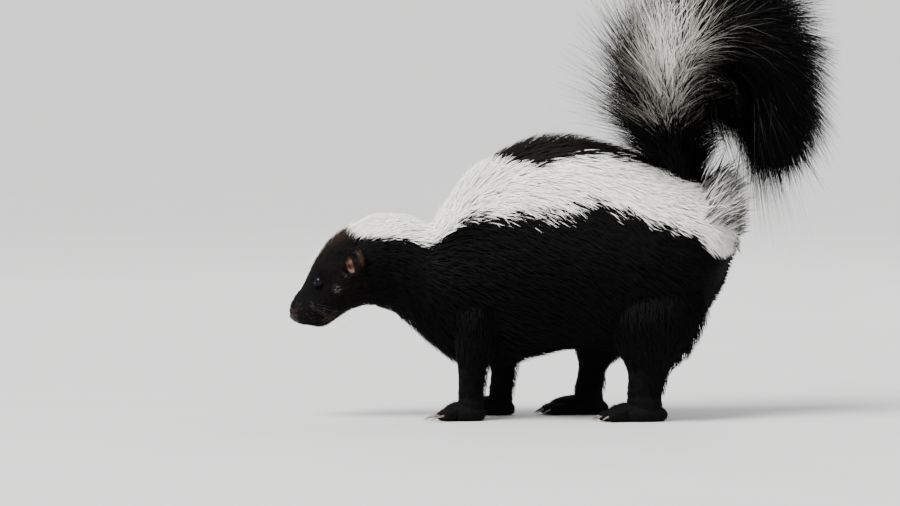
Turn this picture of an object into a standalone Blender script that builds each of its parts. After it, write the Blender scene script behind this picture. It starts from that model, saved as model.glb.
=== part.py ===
# Striped skunk standing with its head low and its tail raised, life size, in metres.
# +Z is up, the head points to -X, and the animal's left side faces -Y.
import math

import bmesh
import bpy
import numpy as np
from mathutils import Matrix, Vector

GAP = 0.0003  # clearance between neighbouring pieces
CLEAR = 0.0004  # how far a seat is cut beyond the piece that sits in it
STRIP_CLEAR = 0.0006  # the same for a strip of white coat
EYE_RADIUS = 0.0042
EYE_CENTRE = (-0.1540, 0.0178, 0.1098)  # x, distance from the middle plane, z
MOUTH_GAP = 0.0008
MOUTH_DEPTH = 0.0018
MOUTH_LINE = (
    (-0.1790, 0.0795),
    (-0.1720, 0.0790),
    (-0.1640, 0.0772),
    (-0.1560, 0.0764),
    (-0.1480, 0.0790),
    (-0.1400, 0.0850),
)
WHISKER_PAD = (-0.1610, 0.0870)
WHISKER_PAD_RADII = (0.0085, 0.0055, 0.0060)
LID_RADII = (0.0062, 0.0050, 0.0056)
LID_OPENING_RADII = (0.0044, 0.0030, 0.0033)
LID_TILT = math.radians(-18)
NOSTRIL = (-0.1775, 0.0048, 0.0852)
NOSTRIL_RADII = (0.0030, 0.0017, 0.0022)
NOSTRIL_SLIT = (-0.1750, 0.0082, 0.0838)
NOSTRIL_SLIT_RADII = (0.0032, 0.0022, 0.0010)
EAR_CENTRE = (-0.1262, 0.0315, 0.1240)
EAR_RADII = (0.0090, 0.0068, 0.0105)
EAR_CUP_OFFSET = (-0.0040, 0.0036, 0.0004)
EAR_CUP_RADII = (0.0078, 0.0050, 0.0078)
PAW_SIZES = {  # length, width, length of the longest claw, how far the heel stands behind the ankle
    "front": (0.042, 0.028, 0.011, 0.001),
    "hind": (0.060, 0.030, 0.006, 0.004),
}
PAW_HEIGHT = 0.0125
AROUND_HEAD = 22
AROUND_TRUNK = 18
AROUND_LEG = 10
STRIPE_DEPTH = 0.006  # how deep the white coat's solids are let into the black ones
FLANK_SLANT = math.radians(32)  # how far the coat's lie turns down on the flank
COAT_CLEARANCE = 0.016  # how far out a white strip clears black locks

# Outline pairs, nose to rump: top x, z, bottom x, z, middle y, half width, share that narrows the top
TRUNK = (
    (-0.1782, 0.0868, -0.1776, 0.0800, 0.0, 0.0035, 0.00),
    (-0.1765, 0.0915, -0.1740, 0.0770, 0.0, 0.0072, 0.00),
    (-0.1748, 0.0945, -0.1700, 0.0757, 0.0, 0.0088, 0.00),
    (-0.1704, 0.1032, -0.1608, 0.0736, 0.0, 0.0125, 0.05),
    (-0.1648, 0.1140, -0.1504, 0.0728, 0.0, 0.0172, 0.08),
    (-0.1592, 0.1265, -0.1400, 0.0792, 0.0, 0.0222, 0.10),
    (-0.1520, 0.1372, -0.1296, 0.0856, 0.0, 0.0268, 0.10),
    (-0.1416, 0.1464, -0.1200, 0.0888, 0.0, 0.0302, 0.08),
    (-0.1280, 0.1552, -0.1152, 0.0890, 0.0, 0.0320, 0.06),
    (-0.1128, 0.1628, -0.1090, 0.0880, 0.0, 0.0330, 0.04),
    (-0.0912, 0.1648, -0.0945, 0.0826, 0.0, 0.0350, 0.04),
    (-0.0672, 0.1595, -0.0790, 0.0700, 0.0, 0.0400, 0.06),
    (-0.0520, 0.1728, -0.0640, 0.0570, 0.0, 0.0465, 0.10),
    (-0.0336, 0.1965, -0.0456, 0.0450, 0.0, 0.0540, 0.14),
    (-0.0096, 0.2150, -0.0176, 0.0416, 0.0, 0.0600, 0.16),
    (0.0144, 0.2256, 0.0104, 0.0464, 0.0, 0.0635, 0.17),
    (0.0400, 0.2288, 0.0384, 0.0520, 0.0, 0.0670, 0.17),
    (0.0704, 0.2240, 0.0688, 0.0528, 0.0, 0.0715, 0.16),
    (0.1000, 0.2136, 0.1024, 0.0544, 0.0, 0.0740, 0.14),
    (0.1280, 0.2016, 0.1344, 0.0640, 0.0, 0.0700, 0.12),
    (0.1544, 0.1904, 0.1552, 0.0840, 0.0, 0.0590, 0.08),
    (0.1712, 0.1744, 0.1680, 0.1088, 0.0, 0.0400, 0.04),
    (0.1790, 0.1490, 0.1780, 0.1370, 0.0, 0.0100, 0.00),
)
NOSE_CUT = 2.35  # where the nose pad meets the muzzle, in stations
HEAD_CUT = 9.3  # where the head meets the neck
NECK_CUT = 11.4  # where the neck meets the torso

# Legs, top to ankle: front x, z, back x, z, middle y, half width, share that narrows the front
LEG_FRONT_NEAR = (
    (-0.0480, 0.1120, 0.0000, 0.1180, -0.0300, 0.0150, 0.0),
    (-0.0500, 0.0850, -0.0060, 0.0870, -0.0370, 0.0190, 0.0),
    (-0.0480, 0.0600, -0.0130, 0.0620, -0.0375, 0.0170, 0.0),
    (-0.0450, 0.0380, -0.0190, 0.0390, -0.0350, 0.0130, 0.0),
    (-0.0440, 0.0200, -0.0220, 0.0200, -0.0330, 0.0110, 0.0),
)
LEG_FRONT_FAR = (
    (-0.0400, 0.1120, 0.0080, 0.1180, 0.0300, 0.0150, 0.0),
    (-0.0340, 0.0850, 0.0100, 0.0870, 0.0370, 0.0190, 0.0),
    (-0.0250, 0.0600, 0.0090, 0.0600, 0.0375, 0.0170, 0.0),
    (-0.0190, 0.0380, 0.0050, 0.0370, 0.0350, 0.0130, 0.0),
    (-0.0190, 0.0200, 0.0020, 0.0200, 0.0330, 0.0110, 0.0),
)
LEG_HIND_NEAR = (
    (0.0760, 0.1180, 0.1480, 0.1280, -0.0330, 0.0240, 0.0),
    (0.0720, 0.0860, 0.1545, 0.0900, -0.0450, 0.0300, 0.0),
    (0.0800, 0.0600, 0.1440, 0.0610, -0.0460, 0.0240, 0.0),
    (0.0890, 0.0400, 0.1270, 0.0410, -0.0420, 0.0160, 0.0),
    (0.0900, 0.0220, 0.1200, 0.0220, -0.0400, 0.0130, 0.0),
)
LEG_HIND_FAR = (
    (0.0500, 0.1180, 0.1260, 0.1280, 0.0330, 0.0240, 0.0),
    (0.0480, 0.0860, 0.1240, 0.0900, 0.0450, 0.0300, 0.0),
    (0.0480, 0.0600, 0.1040, 0.0600, 0.0460, 0.0240, 0.0),
    (0.0520, 0.0400, 0.0800, 0.0400, 0.0420, 0.0160, 0.0),
    (0.0500, 0.0220, 0.0750, 0.0220, 0.0400, 0.0130, 0.0),
)

# Tail, root to tip: x, z, core radius, length of the hair beyond the core, its angle off the bone
TAIL = (
    (0.1400, 0.1720, 0.0200, 0.022, 30),
    (0.1350, 0.1950, 0.0210, 0.028, 42),
    (0.1280, 0.2200, 0.0220, 0.042, 52),
    (0.1260, 0.2450, 0.0240, 0.052, 54),
    (0.1300, 0.2700, 0.0270, 0.053, 50),
    (0.1420, 0.2920, 0.0280, 0.052, 46),
    (0.1620, 0.3040, 0.0270, 0.050, 42),
    (0.1830, 0.3010, 0.0250, 0.050, 38),
    (0.1980, 0.2840, 0.0210, 0.048, 32),
    (0.2060, 0.2620, 0.0150, 0.046, 24),
    (0.2090, 0.2480, 0.0060, 0.040, 14),
)
TAIL_CUTS = (3.6, 6.6)  # where the tail's lengths meet, in stations
AROUND_TAIL = 10
TAIL_LOCK_ROWS = ((1.9, 7), (2.8, 8), (3.8, 8), (4.7, 8), (5.6, 8), (6.7, 8), (7.6, 8), (8.5, 7), (9.3, 6))
TAIL_LOCK_WIDTH = 0.036
TAIL_SEAM = 0.02  # between two of the tail's lengths, in stations
INNER_HAIR = 0.5  # length of the hair on the inner side of the bend, as a share of the outer side's

# Depth of the coat outside the trunk's solid core: station, depth
COAT = ((9.0, 0.0), (10.5, 0.0025), (12.0, 0.0065), (14.0, 0.0100), (20.0, 0.0100), (22.0, 0.0030))
LOCK_ROWS = (12.1, 13.1, 14.1, 15.1, 16.1, 17.1, 18.1, 19.1, 20.0)
LOCK_STEP = 0.030  # from one lock to the next across a row
LOCK_WIDTH = 0.034
LOCK_LENGTH = 0.046
LOCK_ROOT = 0.0035  # how deep the two edges of a black lock are sunk in the core
WHITE_ROOT = 0.0015  # the same in a strip of white coat, which is only as deep as STRIPE_DEPTH
LOCK_SHARES = (0.0, 0.35, 0.72, 1.0)  # where a lock's middle points lie along it
LOCK_BREADTH = (0.50, 1.0, 0.72)  # its width at the first three of them, as a share
TAIL_SHARES = (0.0, 0.45, 0.78, 1.0)
TAIL_BREADTH = (0.54, 1.0, 0.66)
TAIL_SEED = 22
TAIL_LOCK_THICK = 0.0026
TAIL_LOCK_SINK = 0.0040
WHITE_LOCKS = (  # rows of a strip's locks, and how many lie across it
    (14.6, 1), (15.2, 2), (16.0, 2), (16.9, 2), (17.8, 3), (18.7, 3), (19.5, 3),
)
EDGE_ROOM = 0.12  # share of a strip that its locks leave free along each edge
NAPE_LOCKS = ((10.9, 4), (11.8, 5), (12.7, 5))
BELLY_ANGLE = math.radians(125)  # the long coat's lower limit, from the middle of the back
TAIL_CLEARANCE = 0.034  # how near to the tail's root a lock may end
LAST_ROUND = 20.0  # past this station the rump narrows quickly
RUMP_LIMIT = 21.0  # past this station the locks leave the rump straight
LOCK_LIFT = 0.0015  # how far a crest and a tip stand out beyond the coat
LOCK_SINKS = (1.6, 1.0, 0.3)  # how deep its two edges lie at the first three points, as a share of the root
LOCK_FILL = 0.62  # half width of a white lock, as a share of its room across the strip
EDGE_TURN = 0.12  # radians that the root of a black lock keeps from a strip
BACK_TURN = 0.08  # radians that it keeps from the middle of the back
SLANT_SHAKE = 0.15
SEED = 21
FLAT_ANGLE = math.radians(0.02)  # faces this nearly in one plane are joined

# White coat on each side: station, upper edge and lower edge in degrees from the middle of the back
STRIPE_EDGES = (
    (7.7, 0, 18),
    (8.4, 0, 46),
    (9.3, 0, 63),
    (9.9, 0, 64),
    (10.6, 0, 54),
    (11.7, 0, 53),
    (13.0, 0, 61),
    (14.0, 5, 66),
    (14.5, 33, 72),
    (15.3, 45, 77),
    (16.0, 42, 77),
    (17.0, 31, 72),
    (18.0, 32, 77),
    (19.0, 30, 77),
    (19.7, 27, 86),
    (20.3, 24, 98),
    (21.0, 22, 108),
)
NAPE_END = 14.05  # where the patch on the nape parts into the two stripes
STRIPE_END = 20.9


def clear_scene():
    for item in list(bpy.data.objects):
        bpy.data.objects.remove(item)


def material(name, colour, roughness):
    made = bpy.data.materials.new(name)
    made.use_nodes = True
    shader = made.node_tree.nodes["Principled BSDF"]
    shader.inputs["Base Color"].default_value = (*colour, 1.0)
    shader.inputs["Roughness"].default_value = roughness
    return made


def mesh_object(name, points, faces):
    mesh = bpy.data.meshes.new(name)
    mesh.from_pydata([tuple(p) for p in points], [], faces)
    body = bmesh.new()
    body.from_mesh(mesh)
    bmesh.ops.recalc_face_normals(body, faces=body.faces)
    body.to_mesh(mesh)
    body.free()
    item = bpy.data.objects.new(name, mesh)
    bpy.context.scene.collection.objects.link(item)
    return item


def at_station(stations, t):
    """The stations' numbers at t, counted in stations, on a smooth curve through them."""
    rows = np.asarray(stations, float)
    slopes = np.gradient(rows, axis=0)
    low = int(min(max(math.floor(t), 0), len(rows) - 2))
    u = t - low
    start, end = rows[low], rows[low + 1]
    return (
        start * (2 * u**3 - 3 * u**2 + 1)
        + slopes[low] * (u**3 - 2 * u**2 + u)
        + end * (3 * u**2 - 2 * u**3)
        + slopes[low + 1] * (u**3 - u**2)
    )


def section(stations, t, count, grow=0.0):
    """One closed section: count points, the first at the top or front, grown by a distance."""
    return at_angles(stations, t, 2 * np.pi * np.arange(count) / count, grow)


def at_angles(stations, t, angles, grow=0.0):
    """Points of the section at t, at given angles from its top or front."""
    ax, az, bx, bz, y, half_width, pear = at_station(stations, t)
    middle = np.array(((ax + bx) / 2, y, (az + bz) / 2))
    up = np.array(((ax - bx) / 2, 0.0, (az - bz) / 2))
    half_height = np.linalg.norm(up)
    up = up / half_height
    angles = np.asarray(angles, float)
    along = (half_height + grow) * np.cos(angles)
    across = (half_width + grow) * np.sin(angles) * (1 - pear * np.cos(angles))
    return middle + np.outer(along, up) - np.outer(across, (0.0, 1.0, 0.0))


def tube(name, rings, tip=None):
    """A closed skin of triangles over rings of the same count, its ends flat, or its last end a point."""
    count = len(rings[0])
    last = (len(rings) - 1) * count
    points = np.concatenate(rings)
    faces = [tuple(range(count))]
    for r in range(len(rings) - 1):
        for k in range(count):
            near, far = r * count, (r + 1) * count
            after = (k + 1) % count
            faces.append((near + k, near + after, far + after))
            faces.append((near + k, far + after, far + k))
    if tip is None:
        faces.append(tuple(last + k for k in range(count)))
    else:
        points = np.concatenate((points, (tip,)))
        faces += [(last + k, last + (k + 1) % count, len(points) - 1) for k in range(count)]
    return mesh_object(name, points, faces)


def loft(name, stations, ts, count, grow=0.0):
    return tube(name, [section(stations, t, count, grow) for t in ts])


def placed(name, made, size, centre):
    """An object from a unit form, scaled and moved to its place."""
    bmesh.ops.scale(made, vec=Vector(size), verts=made.verts)
    bmesh.ops.translate(made, vec=Vector(centre), verts=made.verts)
    mesh = bpy.data.meshes.new(name)
    made.to_mesh(mesh)
    made.free()
    item = bpy.data.objects.new(name, mesh)
    bpy.context.scene.collection.objects.link(item)
    return item


def ellipsoid(name, centre, radii, segments=12, rings=8):
    made = bmesh.new()
    bmesh.ops.create_uvsphere(made, u_segments=segments, v_segments=rings, radius=1.0)
    return placed(name, made, radii, centre)


def block(name, low, high):
    made = bmesh.new()
    bmesh.ops.create_cube(made, size=1.0)
    low, high = Vector(low), Vector(high)
    return placed(name, made, high - low, (low + high) / 2)


def keep_largest(item):
    """Leaves only the largest closed surface of the mesh, in triangles."""
    made = bmesh.new()
    made.from_mesh(item.data)
    unseen = set(made.faces)
    islands = []
    while unseen:
        found, edge = set(), [unseen.pop()]
        while edge:
            face = edge.pop()
            found.add(face)
            for side in face.edges:
                for other in side.link_faces:
                    if other in unseen:
                        unseen.discard(other)
                        edge.append(other)
        islands.append(found)
    islands.sort(key=lambda faces: -box_volume(faces))
    extra = [face for found in islands[1:] for face in found]
    bmesh.ops.delete(made, geom=extra, context="FACES")
    bmesh.ops.dissolve_limit(made, angle_limit=FLAT_ANGLE, verts=made.verts, edges=made.edges)
    bmesh.ops.triangulate(made, faces=made.faces)
    made.to_mesh(item.data)
    made.free()


def box_volume(faces):
    places = np.array([vert.co for face in faces for vert in face.verts])
    return float(np.prod(places.max(0) - places.min(0)))


def combine(item, others, operation):
    """Applies one Boolean with all the others to item, and removes them."""
    group = bpy.data.collections.new("operands")
    bpy.context.scene.collection.children.link(group)
    for other in others:
        bpy.context.scene.collection.objects.unlink(other)
        group.objects.link(other)
    change = item.modifiers.new("combine", "BOOLEAN")
    change.operation = operation
    change.operand_type = "COLLECTION"
    change.collection = group
    change.solver = "MANIFOLD"
    graph = bpy.context.evaluated_depsgraph_get()
    mesh = bpy.data.meshes.new_from_object(item.evaluated_get(graph))
    item.modifiers.remove(change)
    item.data = mesh
    for other in others:
        bpy.data.objects.remove(other)
    bpy.data.collections.remove(group)
    return item


def finish(item, look):
    keep_largest(item)
    item.data.materials.clear()
    item.data.materials.append(look)
    item.data.shade_smooth()
    item.data.set_sharp_from_angle(angle=math.radians(40))
    return item


def spaced(start, end, count):
    return list(np.linspace(start, end, count))


def trunk_step(t):
    """How far t goes for a gap, at that place on the trunk."""
    step = 0.01
    here, there = trunk_middle(t), trunk_middle(t + step)
    return GAP * step / np.linalg.norm(there - here)


def trunk_middle(t):
    ax, az, bx, bz, y, _, _ = at_station(TRUNK, t)
    return np.array(((ax + bx) / 2, y, (az + bz) / 2))


def coat_depth(t):
    rows = np.asarray(COAT)
    return float(np.interp(t, rows[:, 0], rows[:, 1]))


def trunk_core(t, angles, grow=0.0):
    """Points on the trunk's solid core, which lies inside the coat's outline."""
    return at_angles(TRUNK, t, angles, grow - coat_depth(t))


def trunk_loft(name, ts, count, grow=0.0):
    angles = 2 * np.pi * np.arange(count) / count
    return tube(name, [trunk_core(t, angles, grow) for t in ts])


def unit(vector):
    return vector / np.linalg.norm(vector)


def blade(middles, outs, width, grow=0.0):
    """A free flat lock of three edges along four middle points, its root sunk and its end a point."""
    rings = []
    for number, broad in enumerate(TAIL_BREADTH):
        middle, out = middles[number], outs[number]
        side = unit(np.cross(middles[number + 1] - middle, out))
        if number == 0:
            middle = middle - out * (TAIL_LOCK_SINK + grow) - unit(middles[1] - middle) * 2 * grow
        edge = side * (width / 2 * broad + grow)
        low, crest = middle - out * grow, middle + out * (TAIL_LOCK_THICK * broad + grow)
        if grow:
            high = middle + out * grow
            rings.append(np.array((low + edge, high + edge, crest, high - edge, low - edge)))
        else:
            rings.append(np.array((low + edge, crest, low - edge)))
    tip = middles[3] + unit(middles[3] - middles[2]) * 4 * grow
    return tube("lock", rings, tip)


SIDES = {"left": -1, "right": 1}


def on_side(place, sign):
    """A place given by x, its distance from the middle plane and z, on one side."""
    return np.array((place[0], sign * place[1], place[2]))


def eye_place(side, out=0.0):
    x, y, z = EYE_CENTRE
    return (x, SIDES[side] * (y + out), z)


def stripe_edges(t):
    """The upper and lower edge of the white coat at t, as angles from the middle of the back."""
    rows = np.asarray(STRIPE_EDGES, float)
    return [math.radians(np.interp(t, rows[:, 0], rows[:, k])) for k in (1, 2)]


def band(name, ts, side, grow=0.0):
    """A closed strip of coat let into the trunk, on one side or, for side 0, over the back."""
    across = 7
    rings = []
    for t in ts:
        upper, lower = stripe_edges(t)
        widen = 1.5 * grow / at_station(TRUNK, t)[5]
        if side == 0:
            upper = -lower
        angles = np.linspace(upper - widen, lower + widen, across) * (-side or 1)
        inner = trunk_core(t, angles, -STRIPE_DEPTH - grow)[::-1]
        if grow:
            rim = trunk_core(t, angles, grow)
            rings.append(np.concatenate((trunk_core(t, angles, COAT_CLEARANCE), rim[-1:], inner, rim[:1])))
        else:
            rings.append(np.concatenate((trunk_core(t, angles), inner)))
    return tube(name, rings)


def stripe_rows(first, last, count, grow=0.0):
    """Stations along a strip, closer together at its front end, where its edges turn."""
    rows = [first + (last - first) * share**1.5 for share in spaced(0.0, 1.0, count)]
    if grow:
        end = grow / 0.016
        rows = [first - end, *rows, last + end]
    return rows


STRIPS = {
    "nape_patch": (0, 7.8, NAPE_END - 0.02, 12),
    "stripe_left": (-1, NAPE_END + 0.02, STRIPE_END, 13),
    "stripe_right": (1, NAPE_END + 0.02, STRIPE_END, 13),
}


def strip(name, grow=0.0):
    """The solid of one strip of the white coat, without its locks."""
    side, first, last, count = STRIPS[name]
    return band(name, stripe_rows(first, last, count, grow), side, grow)


def white_piece(name):
    """One strip of the white coat with its locks, cut clear of the tail's root."""
    item = strip(name)
    combine(item, white_locks(name), "UNION")
    return combine(item, [tail_core(0, CLEAR)], "DIFFERENCE")


def white_locks(name):
    """The locks of a strip, side by side and along its run, all of them inside its edges."""
    chance = np.random.default_rng(SEED + len(name))
    side, _, last, _ = STRIPS[name]
    made = []
    for row_t, count in NAPE_LOCKS if side == 0 else WHITE_LOCKS:
        for place in range(count):
            shake = chance.uniform(-0.5, 0.5, 3)
            share = (place + 0.5 + 0.2 * shake[0]) / count
            t = row_t + 0.15 * shake[1]
            length = LOCK_LENGTH * (0.8 + 0.2 * shake[2])
            made.append(white_lock(side, t, share, count, length, last - 0.03))
    return made


def white_lock(side, t, share, count, length, last):
    """A lock that follows its strip at a share of the way from its upper to its lower edge."""
    run = min(length / station_length(t), last - t)
    ends = []
    for along, broad in zip(LOCK_SHARES, (*LOCK_BREADTH, 0.0)):
        place = t + run * along
        upper, lower = stripe_edges(place)
        if side == 0:
            upper = -lower
        room = lower - upper
        middle = upper + room * share
        half = min(LOCK_WIDTH / 2 / at_station(TRUNK, place)[5], LOCK_FILL * room / count) * broad
        low = max(middle - half, upper + EDGE_ROOM * room)
        high = min(middle + half, lower - EDGE_ROOM * room)
        ends.append((place, low, high))
    return ridge(ends, side, WHITE_ROOT)


def ridge(ends, side, root):
    """A lock that rises from the core like a roof: its two edges stay sunk and its crest ends in a point."""
    turn = -side or 1
    rings = []
    for (place, low, high), along, sunk in zip(ends, LOCK_SHARES, LOCK_SINKS):
        angles = np.array((low, (low + high) / 2, high)) * turn
        rise = coat_depth(place) * (1 - (1 - along) ** 2) + LOCK_LIFT * along
        crest = rise if along else -0.5 * root
        foot = trunk_core(place, angles, -sunk * root)
        rings.append(np.array((foot[0], trunk_core(place, angles, crest)[1], foot[2])))
    place, low, high = ends[3]
    tip = trunk_core(place, [(low + high) / 2 * turn], coat_depth(place) + LOCK_LIFT)[0]
    return tube("lock", rings, tip)


def station_length(t):
    """How long one station is along the trunk at t."""
    return float(np.linalg.norm(trunk_middle(t + 0.05) - trunk_middle(t - 0.05))) / 0.1


def black_locks():
    """The locks of the black coat, row by row from the shoulders to the rump, which lie tailwards and down."""
    chance = np.random.default_rng(SEED)
    made = []
    for number, row_t in enumerate(LOCK_ROWS):
        turn = LOCK_STEP / at_station(TRUNK, row_t)[5]
        for side in SIDES.values():
            for place in range(int(BELLY_ANGLE / turn) + 1):
                shake = chance.uniform(-0.5, 0.5, 4)
                angle = turn * (place + 0.5 * (number % 2)) + 0.2 * turn * shake[1]
                t = row_t + 0.2 * shake[0]
                length = LOCK_LENGTH * (1 + 0.2 * shake[2])
                if is_black(t, angle) and not in_leg(trunk_core(t, [-side * angle])[0]):
                    found = black_lock(t, angle, side, length, shake[3])
                    if found is not None:
                        made.append(found)
    return made


def is_black(t, angle):
    upper, lower = stripe_edges(t)
    return t > STRIPE_END or angle > lower + EDGE_TURN or BACK_TURN < angle < upper - EDGE_TURN


def black_lock(t, angle, side, length, shake):
    """A lock on the black coat, or None where it would reach the tail's root."""
    slant = FLANK_SLANT * math.sin(angle) + SLANT_SHAKE * shake
    run = length * math.cos(slant) / station_length(t)
    turn = length * math.sin(slant) / at_station(TRUNK, t)[5]
    ends = []
    for along, broad in zip(LOCK_SHARES, (*LOCK_BREADTH, 0.0)):
        place = min(t + run * along, RUMP_LIMIT)
        half = LOCK_WIDTH / 2 / at_station(TRUNK, min(place, LAST_ROUND))[5] * broad
        ends.append((place, angle + turn * along - half, angle + turn * along + half))
    place, low, high = ends[3]
    tip = trunk_core(place, [-side * (low + high) / 2], coat_depth(place))[0]
    if np.linalg.norm(tip - tail_ring(0.6)[1]) < TAIL_CLEARANCE:
        return None
    return ridge(ends, side, LOCK_ROOT)


def in_leg(point):
    """Whether a point of the trunk lies within the top of a leg."""
    x, y, z = point
    for stations in LEGS.values():
        for t in spaced(0.0, 2.0, 9):
            ax, az, bx, _, middle_y, half_width, _ = at_station(stations, t)
            off = ((x - (ax + bx) / 2) / (bx - ax) * 2) ** 2 + ((y - middle_y) / half_width) ** 2
            if abs(z - az) < 0.012 and off < 1.1:
                return True
    return False


def path_slab(name, path, thickness, half_width):
    """A thin upright sheet along a path of x, z points, as wide as half_width each way."""
    points = np.asarray(path, float)
    along = np.gradient(points, axis=0)
    along /= np.linalg.norm(along, axis=1)[:, None]
    normal = np.stack((-along[:, 1], along[:, 0]), axis=1) * thickness / 2
    rings = []
    for (x, z), (nx, nz) in zip(points, normal):
        corners = ((1, 1), (-1, 1), (-1, -1), (1, -1))
        rings.append(np.array([(x + s * nx, w * half_width, z + s * nz) for s, w in corners]))
    return tube(name, rings)


def head_surface(x, z, out=0.0):
    """How far the head's side is from the middle plane at x, z, plus out."""
    best = None
    for t in np.linspace(1.0, 9.3, 333):
        ax, az, bx, bz, _, half_width, pear = at_station(TRUNK, t)
        up = np.array((ax - bx, az - bz)) / 2
        away = np.array((x - (ax + bx) / 2, z - (az + bz) / 2))
        size = up @ up
        off = abs(away[0] * up[1] - away[1] * up[0]) / math.sqrt(size)
        if best is None or off < best[0]:
            share = min(max(away @ up / size, -1.0), 1.0)
            best = (off, half_width * math.sqrt(1 - share**2) * (1 - pear * share))
    return best[1] + out


def mouth_cutter():
    """The closed mouth: a groove of even depth from under the nose back to the corner on each side."""
    slab = path_slab("mouth", MOUTH_LINE, MOUTH_GAP, 0.05)
    core = loft("core", TRUNK, spaced(0.6, 8.0, 9), 14, -MOUTH_DEPTH)
    return combine(slab, [core], "DIFFERENCE")


def lips():
    """The rolled lower lip along the mouth on each side, and the pads that carry the whiskers."""
    made = []
    for sign in SIDES.values():
        rings = []
        for share in spaced(0.0, 1.0, 7):
            x, z = at_share(MOUTH_LINE, 0.12 + 0.85 * share)
            middle = np.array((x, sign * head_surface(x, z - 0.002, -0.0004), z - 0.0021))
            angle = 2 * np.pi * np.arange(6) / 6
            size = 0.0017 - 0.0006 * abs(2 * share - 1)
            offset = np.stack((0 * angle, np.cos(angle), np.sin(angle)), axis=1) * size
            rings.append(middle + offset)
        made.append(tube("lip", rings))
        x, z = WHISKER_PAD
        pad = (x, sign * head_surface(x, z, -0.0035), z)
        made.append(ellipsoid("pad", pad, WHISKER_PAD_RADII, 10, 6))
    return made


def at_share(path, share):
    """The point at a share of the way along a path of points."""
    points = np.asarray(path, float)
    step = np.linalg.norm(np.diff(points, axis=0), axis=1)
    run = np.concatenate(((0,), np.cumsum(step))) / step.sum()
    return [float(np.interp(share, run, points[:, k])) for k in range(points.shape[1])]


HEAD_ROWS = spaced(2.75, 8.9, 12)


def head_piece():
    start = NOSE_CUT + 1.5 * trunk_step(NOSE_CUT)
    ts = [start, *HEAD_ROWS, HEAD_CUT]
    head = trunk_loft("head", ts, AROUND_HEAD)
    lids = [ellipsoid("lid", eye_place(side, 0.0002), LID_RADII, 12, 8) for side in SIDES]
    combine(head, [*lids, *lips()], "UNION")
    sockets = [ellipsoid("socket", eye_place(side), (EYE_RADIUS + CLEAR,) * 3, 12, 8) for side in SIDES]
    openings = [ellipsoid("opening", eye_place(side, EYE_RADIUS), LID_OPENING_RADII, 12, 6) for side in SIDES]
    for opening, side in zip(openings, SIDES):
        tilt(opening, eye_place(side), LID_TILT)
    seat = loft("seat", TRUNK, [-1.0, 0.5, 1.5, NOSE_CUT + 0.5 * trunk_step(NOSE_CUT)], AROUND_HEAD, 0.003)
    cuts = [*sockets, *openings, mouth_cutter(), seat, strip("nape_patch", STRIP_CLEAR)]
    return combine(head, cuts, "DIFFERENCE")


def tilt(item, pivot, angle):
    """Turns the mesh about the Y direction through pivot."""
    turn = Matrix.Translation(pivot) @ Matrix.Rotation(angle, 4, "Y") @ Matrix.Translation(-Vector(pivot))
    item.data.transform(turn)


def nose_piece():
    """The bare pad, with a nostril on each side that opens forwards and outwards, and the cleft below."""
    nose = loft("nose", TRUNK, [0.0, 0.5, 1.0, 1.5, NOSE_CUT], 16)
    cuts = []
    for sign in SIDES.values():
        cuts.append(ellipsoid("nostril", on_side(NOSTRIL, sign), NOSTRIL_RADII, 8, 6))
        cuts.append(ellipsoid("slit", on_side(NOSTRIL_SLIT, sign), NOSTRIL_SLIT_RADII, 8, 4))
    cuts.append(block("cleft", (-0.1800, -0.00035, 0.0740), (-0.1772, 0.00035, 0.0850)))
    return combine(nose, cuts, "DIFFERENCE")


def neck_piece():
    start = HEAD_CUT + 1.5 * trunk_step(HEAD_CUT)
    neck = trunk_loft("neck", [start, *spaced(9.7, 11.2, 5), NECK_CUT], AROUND_HEAD)
    return combine(neck, [strip("nape_patch", STRIP_CLEAR)], "DIFFERENCE")


LEGS = {
    "front_left": LEG_FRONT_NEAR,
    "front_right": LEG_FRONT_FAR,
    "hind_left": LEG_HIND_NEAR,
    "hind_right": LEG_HIND_FAR,
}


def leg_loft(name, stations, grow=0.0):
    return loft(name, stations, spaced(0.0, len(stations) - 1.0, 6), AROUND_LEG, grow)


def torso_piece():
    start = NECK_CUT + 1.5 * trunk_step(NECK_CUT)
    last = len(TRUNK) - 1.0
    torso = trunk_loft("torso", [start, *spaced(11.9, last, 13)], AROUND_TRUNK)
    combine(torso, black_locks(), "UNION")
    cuts = [leg_loft("seat", stations, CLEAR) for stations in LEGS.values()]
    cuts.append(tail_core(0, CLEAR))
    cuts += [strip(name, STRIP_CLEAR) for name in STRIPS]
    return combine(torso, cuts, "DIFFERENCE")


def tail_ring(t, grow=0.0):
    """A ring of the tail's core at t, with the middle, the way along and the way to the outer side."""
    x, z, radius, _, _ = at_station(TAIL, t)
    step = 0.05
    ahead, behind = at_station(TAIL, t + step), at_station(TAIL, t - step)
    along = unit(np.array((ahead[0] - behind[0], 0.0, ahead[1] - behind[1])))
    outer = np.array((-along[2], 0.0, along[0]))
    middle = np.array((x, 0.0, z))
    turn = 2 * np.pi * np.arange(AROUND_TAIL) / AROUND_TAIL
    across = np.array((0.0, -1.0, 0.0))
    points = middle + (radius + grow) * (np.outer(np.cos(turn), outer) + np.outer(np.sin(turn), across))
    return points, middle, along, outer


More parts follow.
